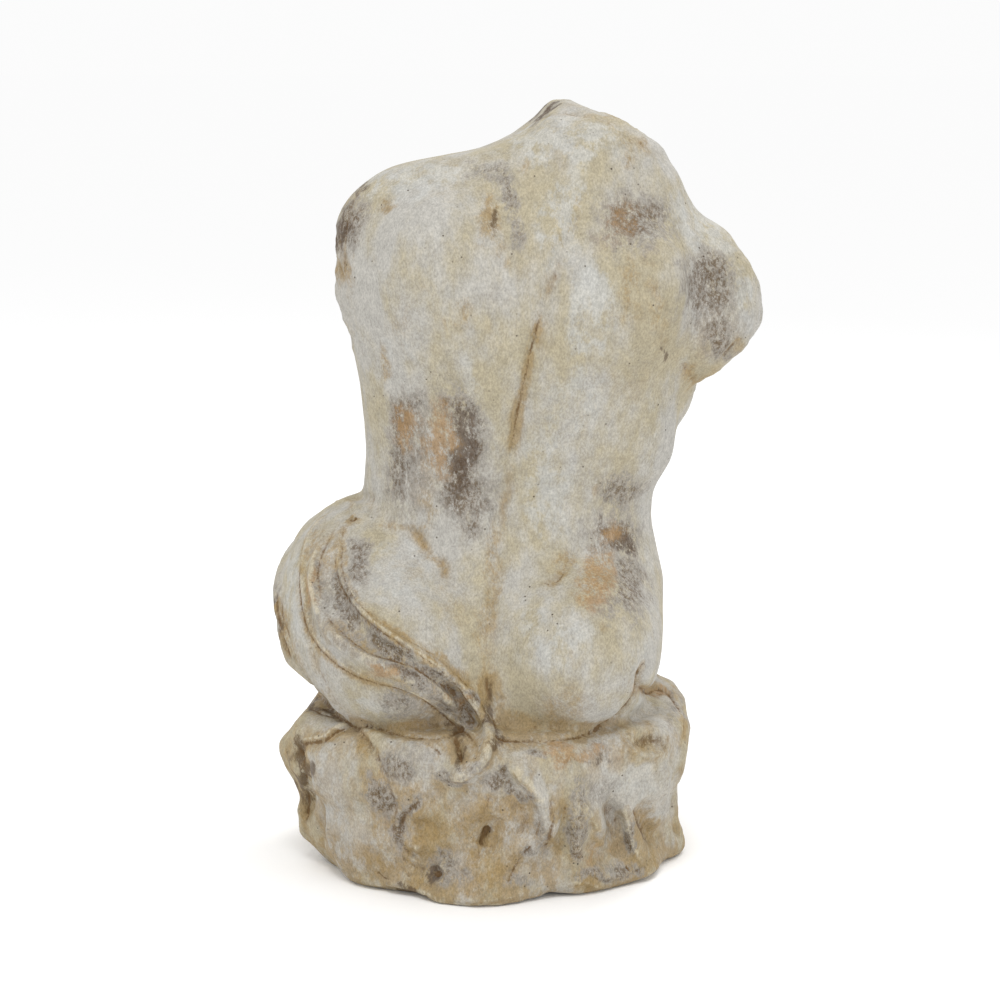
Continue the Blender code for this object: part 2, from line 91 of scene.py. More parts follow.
def smooth_step(values: np.ndarray, low: float, high: float) -> np.ndarray:
    """Rises smoothly from nought at low to one at high.

    Args:
        values: Where to read it.
        low: The value that gives nought.
        high: The value that gives one, which may be below low.

    Returns:
        Shares from nought to one.
    """
    share = np.clip((values - low) / (high - low), 0.0, 1.0)
    return share * share * (3.0 - 2.0 * share)


def bell(values: np.ndarray, middle: float, spread: float) -> np.ndarray:
    """Gives one at the middle and falls smoothly to nought on both sides.

    Args:
        values: Where to read it.
        middle: Where it is one.
        spread: How wide it is.

    Returns:
        Shares from nought to one.
    """
    return np.exp(-(((values - middle) / spread) ** 2))


def fractal(points: np.ndarray, grain: float, octaves: int, seed: float) -> np.ndarray:
    """Reads rough noise at the points.

    Args:
        points: Places in metres.
        grain: Size of its largest lumps, in metres.
        octaves: How many finer layers it has.
        seed: Where in the noise to read.

    Returns:
        Values around nought, seldom beyond one.
    """
    spots = points / grain + np.array((seed, 2.3 * seed, -1.7 * seed))
    return np.array([noise.fractal(spot, 1.0, 2.0, octaves) for spot in spots.tolist()])


@dataclass(frozen=True)
class PhotoView:
    """The photograph's camera, and the way from its pixels to places on the sculpture."""

    target: Place = (0.0109, 0.0049, 0.2596)
    distance: float = 1.8
    elevation: float = math.radians(10.0)
    half_width: float = 0.353  # half of what it shows, level with the target
    pixels: int = 1000
    sensor: float = 36.0  # millimetres

    @property
    def right(self) -> np.ndarray:
        """The picture's right."""
        return np.array((-1.0, 0.0, 0.0))

    @property
    def up(self) -> np.ndarray:
        """The picture's up."""
        return np.array((0.0, -math.sin(self.elevation), math.cos(self.elevation)))

    @property
    def back(self) -> np.ndarray:
        """From the target to the camera."""
        return np.array((0.0, math.cos(self.elevation), math.sin(self.elevation)))

    @property
    def place(self) -> np.ndarray:
        """Where the camera stands."""
        return np.array(self.target) + self.back * self.distance

    @property
    def focus(self) -> float:
        """The distance to the picture plane, in pixels."""
        return self.pixels / 2 * self.distance / self.half_width

    def ray(self, spot: Spot) -> tuple[Vector, Vector]:
        """Gives the line of sight through a pixel.

        Args:
            spot: The pixel, across and down.

        Returns:
            Where the line starts, and its heading.
        """
        across = (spot[0] - self.pixels / 2) / self.focus
        down = (spot[1] - self.pixels / 2) / self.focus
        heading = self.right * across - self.up * down - self.back
        return Vector(self.place), Vector(heading).normalized()

    def project(self, points: np.ndarray) -> np.ndarray:
        """Finds where points show in the picture.

        Args:
            points: Places in metres.

        Returns:
            One pixel for each, across and down.
        """
        offset = points - np.array(self.target)
        depth = self.distance - offset @ self.back
        across = self.focus * (offset @ self.right) / depth
        down = -self.focus * (offset @ self.up) / depth
        return np.column_stack([across, down]) + self.pixels / 2

    def set_camera(self) -> None:
        """Adds the camera and looks through it."""
        data = bpy.data.cameras.new("photo_camera")
        data.sensor_width = self.sensor
        data.lens = self.sensor / 2 * self.distance / self.half_width
        camera = bpy.data.objects.new("photo_camera", data)
        axes = np.array([self.right, self.up, self.back]).T
        turn = Matrix([(*row, 0.0) for row in axes] + [(0.0, 0.0, 0.0, 1.0)])
        camera.matrix_world = Matrix.Translation(Vector(self.place)) @ turn
        bpy.context.scene.collection.objects.link(camera)
        bpy.context.scene.camera = camera


class Side(Enum):
    """Where a line is drawn from: the photograph, or level from one side of her, with the way it looks."""

    PHOTO = None
    BACK = (0.0, -1.0, 0.0)
    FRONT = (0.0, 1.0, 0.0)
    LEFT = (-1.0, 0.0, 0.0)
    RIGHT = (1.0, 0.0, 0.0)


class Profile(Enum):
    """The cut across a line: round, sharp, or a step that is high on one side as the line runs."""

    ROUND = "round"
    SHARP = "sharp"
    HIGH_LEFT = "high on the left"
    HIGH_RIGHT = "high on the right"


@dataclass(frozen=True)
class Stroke:
    """One line of the carving.

    Its spots are pixels on the photograph's side. On another side they are millimetres across, along X or Y,
    and millimetres above the floor.
    """

    width: float  # millimetres
    height: float  # millimetres, below nought for a groove
    spots: tuple[Spot, ...]
    profile: Profile = Profile.ROUND
    side: Side = Side.PHOTO
    fade: float = 0.16  # share of its length over which each end dies away
    stain: float = 1.0  # how much brown lies in a groove, or how worn a ridge is and how strong its painted highlight


class Stain(Enum):
    """What a dab puts on the stone, by the name of the attribute that holds it."""

    GREY = "worn_grey"
    OCHRE = "ochre_wash"
    COPPER = "copper_glint"
    UMBER = "umber_dirt"
    PALE = "pale_scrub"


@dataclass(frozen=True)
class Dab:
    """A soft oval of one stain, seen in the photograph's pixels."""

    stain: Stain
    spot: Spot
    size: Spot  # half its width and height
    strength: float = 1.0
    tilt: float = 0.0  # degrees, clockwise in the picture


BODY_STROKES = {
    "spine groove": Stroke(
        1.2, -1.3,
        (
            (541, 312), (536, 331), (531, 350), (525, 377), (521, 396), (517, 414), (513, 440),
            (511, 456),
        ),
        Profile.SHARP, fade=0.1, stain=0.85,
    ),
    "spine above the groove": Stroke(
        5, -0.9, ((584, 202), (573, 232), (559, 256), (554, 279), (544, 306)), stain=0.25
    ),
    "spine below the groove": Stroke(
        6, -0.8, ((510, 456), (502, 496), (497, 563), (490, 617), (487, 680)), stain=0.05
    ),
    "cleft": Stroke(3.2, -2.2, ((487, 672), (489, 699), (495, 722), (500, 737)), stain=0.6),
    "left hip dimple": Stroke(
        2, -0.7,
        (
            (402, 528), (413, 531), (419, 535), (424, 546), (430, 553), (440, 561), (443, 573),
            (438, 586),
        ),
        stain=0.35
    ),
    "right hip crease": Stroke(
        1.3, -0.8, ((566, 563), (563, 574), (557, 581), (549, 584), (541, 581)), stain=0.7
    ),
    "left blade edge": Stroke(3.5, -1.0, ((497, 180), (505, 192), (514, 211), (520, 245)), stain=0.0),
    "left blade hollow": Stroke(3, -0.9, ((487, 205), (492, 218), (491, 236)), stain=0.3),
    "first chip at the left shoulder": Stroke(3.2, -2.4, ((345, 205), (341, 211)), fade=0.0, stain=0.5),
    "second chip at the left shoulder": Stroke(2.6, -2.0, ((338, 236), (336, 243)), fade=0.0, stain=0.5),
    "third chip at the left shoulder": Stroke(3.0, -2.2, ((336, 268), (337, 274)), fade=0.0, stain=0.5),
    "knob at the left shoulder": Stroke(3.0, 1.8, ((337, 252), (336, 258)), fade=0.0, stain=0.5),
    "edge of the left break": Stroke(
        2.0, -1.2,
        (
            (372, 178), (358, 192), (350, 210), (346, 232), (344, 256), (343, 282),
        ),
        Profile.SHARP, stain=0.5
    ),
    "edge of the neck's break": Stroke(
        1.8, -1.3, ((530, 122), (545, 116), (562, 112), (584, 114), (606, 120)), Profile.SHARP, stain=0.35
    ),
    "chip at the neck": Stroke(3.0, -2.2, ((578, 103), (584, 104)), fade=0.0, stain=0.5),
    "second chip at the neck": Stroke(2.6, -2.0, ((612, 113), (618, 117)), fade=0.0, stain=0.5),
    "chip at the right shoulder": Stroke(2.6, -1.8, ((642, 141), (646, 146)), fade=0.0, stain=0.5),
    "armpit": Stroke(2.5, -1.6, ((668, 296), (666, 320), (665, 354)), stain=0.3),
    "side crease": Stroke(2.6, -1.5, ((682, 361), (690, 376), (696, 391)), Profile.SHARP, stain=0.5),
    "breast edge": Stroke(2.2, -1.8, ((694, 395), (687, 413), (675, 437)), stain=0.6),
    "arm crease": Stroke(2.4, -2.0, ((722, 361), (732, 348), (744, 338)), stain=0.6),
}

CLOTH_STROKES = {
    "outer edge of the band": Stroke(
        1.8, 2.8,
        (
            (331, 513), (319, 522), (309, 537), (304, 552), (302, 570), (302, 590), (305, 610),
            (312, 633), (327, 653),
            (347, 669), (373, 680), (400, 687), (417, 693), (440, 710), (460, 727), (474, 739), (481, 748),
        ),
        Profile.HIGH_LEFT, fade=0.06, stain=0.9,
    ),
    "inner edge of the band": Stroke(
        1.3, 1.7,
        (
            (343, 523), (341, 544), (340, 563), (344, 580), (352, 596), (364, 611), (379, 623),
            (398, 636), (423, 651),
            (442, 664), (459, 680), (472, 695), (482, 710), (489, 726), (492, 738),
        ),
        Profile.HIGH_RIGHT, fade=0.05, stain=0.6,
    ),
    "line beside the inner edge": Stroke(
        0.9, -1.0,
        (
            (337, 552), (336, 566), (340, 583), (348, 599), (360, 614), (375, 627), (394, 640),
            (419, 655), (438, 668),
            (455, 684), (468, 699), (478, 714), (485, 730),
        ),
        Profile.SHARP, fade=0.06, stain=0.9,
    ),
    "thread inside the band": Stroke(
        1.0, 1.2,
        (
            (330, 596), (338, 610), (352, 626), (370, 641), (396, 655), (420, 668), (440, 682),
            (458, 698), (470, 714),
            (478, 728),
        ),
        fade=0.1, stain=0.7,
    ),
    "second thread inside the band": Stroke(
        1.0, -0.9,
        (
            (350, 606), (364, 621), (384, 636), (408, 650), (434, 665), (456, 682), (472, 702),
        ),
        stain=0.5
    ),
    "thread on the outer lobe": Stroke(
        1.1, 1.2, ((308, 560), (309, 584), (313, 606), (322, 628), (338, 646), (356, 660)), stain=0.6
    ),
    "cord along the inner edge": Stroke(
        0.9, 1.0,
        (
            (346, 577), (353, 593), (363, 609), (379, 626), (397, 639), (420, 654), (440, 668),
            (457, 685), (470, 700),
            (480, 716), (487, 732),
        ),
        fade=0.05, stain=1.0,
    ),
    "hollow of the band": Stroke(
        4.6, -1.9,
        (
            (335, 560), (334, 584), (344, 607), (364, 628), (388, 646), (412, 660), (436, 677),
            (457, 695), (471, 713),
            (480, 728),
        ),
        fade=0.12, stain=0.1,
    ),
    "groove of the band": Stroke(
        1.3, -1.7,
        (
            (323, 610), (332, 623), (343, 633), (363, 649), (387, 659), (410, 667), (433, 680),
            (453, 693), (464, 707),
            (473, 720), (482, 731),
        ),
        Profile.SHARP, fade=0.15, stain=1.0,
    ),
    "dark slit in the band": Stroke(
        1.0, -1.4, ((442, 684), (450, 691), (457, 698)), Profile.SHARP, fade=0.3, stain=1.1
    ),
    "ridge beside the groove": Stroke(
        2.6, 1.8,
        (
            (322, 617), (336, 634), (354, 649), (376, 660), (398, 664), (418, 672), (438, 688),
            (456, 706),
        ),
        stain=0.6
    ),
    "fold on the band's outer lobe": Stroke(
        2.6, 1.8, ((322, 540), (314, 558), (311, 577), (314, 600), (322, 620)), stain=1.0
    ),
    "crease on the band's outer lobe": Stroke(
        2.0, -1.4, ((336, 527), (327, 542), (320, 560), (318, 578), (321, 596)), stain=0.6
    ),
    "sheet outside the band": Stroke(
        2.4, 1.8,
        ((301, 568), (299, 590), (301, 610), (306, 634), (315, 662), (327, 687), (340, 708), (354, 722)),
        Profile.HIGH_RIGHT, stain=0.4,
    ),
    "outermost crease": Stroke(
        2.0, -1.4,
        (
            (283, 588), (281, 607), (288, 634), (296, 659), (308, 679), (321, 698), (337, 713),
            (348, 723),
        ),
        stain=0.5
    ),
    "brown fold at the hip's edge": Stroke(
        2.4, -1.4, ((276, 590), (277, 613), (283, 638), (292, 662)), stain=1.0
    ),
    "crease under the left buttock": Stroke(
        1.5, -1.8,
        (
            (313, 703), (330, 711), (345, 721), (357, 728), (375, 729), (394, 733), (417, 738),
            (436, 739), (454, 736),
        ),
        Profile.SHARP, fade=0.06, stain=0.9,
    ),
    "hooked end": Stroke(
        3.2, 3.6, ((493, 728), (493, 745), (487, 762), (476, 774), (458, 780), (443, 777), (435, 770)),
        Profile.HIGH_RIGHT, fade=0.08, stain=0.35,
    ),
    "waist above the hip": Stroke(
        4, -2.6, ((374, 500), (362, 497), (352, 495), (346, 492)), fade=0.1, stain=0.25
    ),
    "slot in the hooked end": Stroke(
        2.6, -3.0, ((455, 733), (457, 746), (460, 757), (463, 767)), fade=0.25, stain=1.5
    ),
    "pit above the slot": Stroke(2.6, -2.0, ((449, 735), (457, 731), (464, 728)), fade=0.2, stain=1.2),
    "small pleat": Stroke(1.5, -1.3, ((424, 742), (433, 748), (442, 755)), Profile.SHARP, stain=1.0),
    "small pleat's edge": Stroke(1.3, 1.0, ((428, 741), (437, 747), (446, 754)), stain=0.5),
    "knot at the waist": Stroke(2.4, 1.6, ((345, 503), (354, 504), (357, 511), (352, 519)), stain=0.6),
    "nick under the knot": Stroke(1.4, -1.8, ((348, 518), (353, 520), (357, 517)), stain=1.4),
    "cloth's top edge": Stroke(1.8, 1.2, ((322, 505), (336, 502), (347, 500)), stain=0.4),
}

ROCK_STROKES = {
    "crevice on the left": Stroke(
        2.0, -4.2,
        (
            (299, 748), (302, 760), (305, 772), (307, 786), (308, 800), (306, 822),
        ),
        Profile.SHARP, fade=0.1, stain=1.6
    ),
    "nick under the hip": Stroke(
        1.8, -1.8, ((308, 700), (311, 707), (320, 712), (333, 716)), fade=0.1, stain=0.9
    ),
    "ledge on the left": Stroke(
        2.0, 2.4,
        (
            (302, 743), (312, 741), (322, 740), (336, 731), (350, 727),
        ),
        Profile.HIGH_LEFT, fade=0.1, stain=1.2
    ),
    "pillow beside the long fold": Stroke(12, 2.4, ((404, 746), (424, 764), (438, 790)), stain=0.1),
    "valley left of the fold": Stroke(
        4.5, -2.0, ((368, 762), (376, 790), (384, 812), (386, 840)), stain=0.3
    ),
    "middle swell": Stroke(10, 2.2, ((458, 800), (462, 825), (458, 852)), stain=0.1),
    "swell above the uprights": Stroke(9, 2.0, ((560, 772), (590, 774), (618, 778)), stain=0.1),
    "rib at the right edge": Stroke(6, 2.4, ((668, 765), (664, 800), (668, 838)), stain=0.2),
    "long fold from the seat": Stroke(
        2.8, 3.6,
        (
            (356, 727), (370, 741), (378, 755), (386, 773), (392, 792), (399, 808), (397, 820),
            (396, 831), (400, 845),
            (408, 859), (419, 865), (433, 866),
        ),
        Profile.HIGH_LEFT, fade=0.06, stain=0.5,
    ),
    "groove along the long fold": Stroke(
        1.2, -1.2,
        ((356, 727), (370, 742), (378, 757), (386, 774), (392, 793), (398, 806)),
        Profile.SHARP, fade=0.1, stain=0.7,
    ),
    "branch of the long fold": Stroke(
        2.4, -2.2, ((421, 799), (412, 807), (405, 815), (401, 829), (402, 842), (409, 855)), stain=0.6
    ),
    "bowl": Stroke(9.0, -3.6, ((418, 818), (414, 832), (418, 846)), stain=0.3),
    "bowl's right rim": Stroke(3.0, 1.6, ((436, 800), (440, 820), (440, 842), (432, 858)), stain=0.3),
    "ring low on the left": Stroke(
        1.8, 1.6, ((425, 868), (432, 863), (442, 866), (447, 874), (441, 882), (430, 883)), stain=0.5
    ),
    "hole in the ring": Stroke(2.2, -3.4, ((434, 872), (438, 874)), fade=0.0, stain=1.6),
    "seat crease": Stroke(
        1.9, -2.4,
        (
            (493, 731), (500, 737), (508, 739), (533, 741), (566, 739), (593, 731), (619, 712),
            (633, 697), (637, 678),
            (640, 667),
        ),
        Profile.SHARP, fade=0.05, stain=1.1,
    ),
    "arch": Stroke(
        3.2, 2.6, ((497, 775), (510, 773), (525, 785), (537, 802), (543, 821), (537, 840), (525, 851)),
        Profile.HIGH_LEFT, fade=0.25, stain=0.5,
    ),
    "hollow under the arch": Stroke(8.0, -4.0, ((503, 798), (517, 808), (525, 824), (518, 842)), stain=0.4),
    "foot of the arch": Stroke(
        1.5, -1.8, ((535, 843), (522, 856), (514, 869), (508, 885)), Profile.SHARP, stain=1.0
    ),
    "leaf-shaped hole": Stroke(
        2.6, -4.6, ((489, 828), (485, 836), (480, 846)), Profile.SHARP, fade=0.1, stain=1.8
    ),
    "small slot": Stroke(1.7, -3.0, ((479, 851), (477, 862)), fade=0.1, stain=1.8),
    "thread beside the hole": Stroke(1.6, 1.7, ((499, 812), (493, 828), (489, 843), (485, 857)), stain=0.6),
    "left leg of the arch": Stroke(3.4, -2.4, ((489, 795), (484, 812), (479, 826)), stain=0.5),
    "groove beside the arch": Stroke(
        5.0, -3.4, ((555, 795), (553, 817), (549, 840), (545, 860)), stain=0.7
    ),
    "grey upright": Stroke(5.0, 3.0, ((574, 785), (577, 810), (577, 835), (574, 856)), stain=0.6),
    "slanting thread": Stroke(1.7, 1.8, ((584, 803), (592, 818), (601, 833)), stain=0.6),
    "hollow between the uprights": Stroke(7.0, -3.0, ((604, 800), (610, 822), (608, 846)), stain=0.5),
    "right upright": Stroke(
        3.8, 3.4, ((623, 802), (628, 818), (631, 838), (638, 856), (641, 868)), Profile.ROUND, stain=0.8
    ),
    "hollow right of it": Stroke(5.0, -4.2, ((634, 806), (641, 818), (647, 832), (652, 846)), stain=0.8),
    "pit low on the right": Stroke(1.4, -2.4, ((627, 867), (630, 870)), fade=0.0, stain=1.8),
    "hollow beside the lump": Stroke(
        5.0, -2.8, ((618, 737), (634, 739), (650, 741), (664, 741)), fade=0.3, stain=0.2
    ),
    "lip under that hollow": Stroke(
        2.0, 1.8, ((623, 740), (630, 746), (638, 753), (652, 756), (664, 753)), stain=0.5
    ),
    "crease over the lump": Stroke(
        1.8, -2.2,
        (
            (636, 684), (646, 692), (660, 690), (670, 694), (677, 703), (682, 714),
        ),
        Profile.SHARP, stain=1.1
    ),
    "notch above the lump": Stroke(2.0, -1.4, ((646, 662), (642, 667), (638, 677)), fade=0.1, stain=1.0),
    "edge line of the lump": Stroke(1.5, -1.0, ((668, 668), (680, 684), (685, 708), (684, 742)), stain=0.6),
    "lip at the foot, left": Stroke(
        2.6, 2.2, ((352, 876), (379, 884), (398, 885), (422, 890), (437, 899)), stain=0.6
    ),
    "dark line at the foot": Stroke(
        1.5, -1.6,
        (
            (566, 882), (581, 874), (593, 877), (604, 882), (623, 879), (637, 871), (652, 864),
        ),
        stain=0.6
    ),
    "lip at the foot, right": Stroke(
        2.6, 2.2, ((568, 888), (582, 880), (604, 888), (637, 878), (662, 865)), stain=0.6
    ),
    "lip at the foot, middle": Stroke(
        2.0, 1.6, ((452, 899), (478, 900), (505, 898), (530, 893)), stain=0.5
    ),
    "wrinkle by the foot": Stroke(1.4, -1.4, ((377, 872), (382, 878), (390, 880)), stain=0.9),
    "second wrinkle": Stroke(1.4, -1.4, ((400, 866), (406, 872), (410, 878)), stain=0.9),
}

HIDDEN_STROKES = {
    "crease under the right breast": Stroke(
        2.6, -1.4,
        ((-110, 338), (-101, 300), (-84, 281), (-66, 275), (-46, 279), (-30, 290), (-13, 314)),
        side=Side.FRONT, stain=0.5,
    ),
    "crease under the left breast": Stroke(
        2.6, -1.4,
        (
            (26, 345), (32, 312), (50, 290), (74, 284), (96, 295), (110, 325),
        ),
        side=Side.FRONT, stain=0.5
    ),
    "breastbone": Stroke(7, -1.4, ((8, 446), (7, 410), (9, 372), (10, 340)), side=Side.FRONT, stain=0.1),
    "middle of the belly": Stroke(6, -1.2, ((11, 300), (10, 270), (9, 240)), side=Side.FRONT, stain=0.1),
    "navel": Stroke(2.6, -3.4, ((9, 236), (10, 231)), side=Side.FRONT, fade=0.0, stain=1.2),
    "right groin": Stroke(
        4, -2.0, ((-86, 226), (-66, 218), (-44, 210), (-24, 206)), side=Side.FRONT, stain=0.4
    ),
    "left groin": Stroke(
        4, -2.0, ((104, 236), (84, 226), (60, 214), (40, 208)), side=Side.FRONT, stain=0.4
    ),
    "right collar bone": Stroke(
        4, 1.4, ((-96, 452), (-70, 462), (-44, 468), (-22, 462)), side=Side.FRONT, stain=0.4
    ),
    "left collar bone": Stroke(
        4, 1.4, ((100, 440), (74, 456), (50, 464), (26, 462)), side=Side.FRONT, stain=0.4
    ),
    "rolled hem of the cloth": Stroke(
        3.6, 3.0,
        (
            (-14, 198), (8, 191), (36, 188), (64, 192), (84, 200),
        ),
        side=Side.FRONT, fade=0.1, stain=0.9
    ),
    "crease under the hem": Stroke(
        2.2, -2.6,
        (
            (-16, 190), (6, 183), (36, 180), (66, 184), (88, 192),
        ),
        Profile.SHARP, Side.FRONT, 0.1, 1.0
    ),
    "first hanging fold": Stroke(
        5, 3.0, ((-14, 178), (-18, 140), (-24, 100), (-26, 60), (-32, 26)), side=Side.FRONT, stain=0.8
    ),
    "first gully": Stroke(
        3, -3.4,
        (
            (-2, 178), (-5, 140), (-10, 100), (-11, 62), (-14, 28),
        ),
        Profile.SHARP, Side.FRONT, 0.12, 1.0
    ),
    "second hanging fold": Stroke(
        5, 3.2, ((10, 176), (8, 136), (4, 96), (4, 58), (0, 22)), side=Side.FRONT, stain=0.8
    ),
    "second gully": Stroke(
        3, -3.6, ((23, 176), (22, 138), (20, 98), (20, 62), (18, 26)), Profile.SHARP, Side.FRONT, 0.12, 1.0
    ),
    "third hanging fold": Stroke(
        5, 3.2, ((36, 175), (37, 138), (37, 98), (38, 60), (38, 22)), side=Side.FRONT, stain=0.8
    ),
    "third gully": Stroke(
        3, -3.6, ((50, 176), (52, 140), (54, 100), (56, 62), (60, 28)), Profile.SHARP, Side.FRONT, 0.12, 1.0
    ),
    "fourth hanging fold": Stroke(
        5, 3.0, ((63, 178), (67, 142), (71, 102), (76, 64), (82, 26)), side=Side.FRONT, stain=0.8
    ),
    "right edge of the hanging cloth": Stroke(
        3, -3.6, ((-30, 160), (-36, 120), (-40, 80), (-46, 40)), Profile.SHARP, Side.FRONT, 0.12, 1.2
    ),
    "left edge of the hanging cloth": Stroke(
        3, -3.6, ((78, 160), (84, 122), (90, 82), (96, 42)), Profile.SHARP, Side.FRONT, 0.12, 1.2
    ),
    "front rock, right cleft": Stroke(
        4, -3.4, ((-72, 116), (-78, 88), (-70, 60), (-74, 30)), side=Side.FRONT, stain=0.8
    ),
    "front rock, right rib": Stroke(
        5, 2.8, ((-92, 112), (-98, 80), (-92, 48), (-96, 22)), side=Side.FRONT, stain=0.5
    ),
    "front rock, left cleft": Stroke(
        4, -3.4, ((112, 116), (118, 86), (112, 56), (118, 28)), side=Side.FRONT, stain=0.8
    ),
}

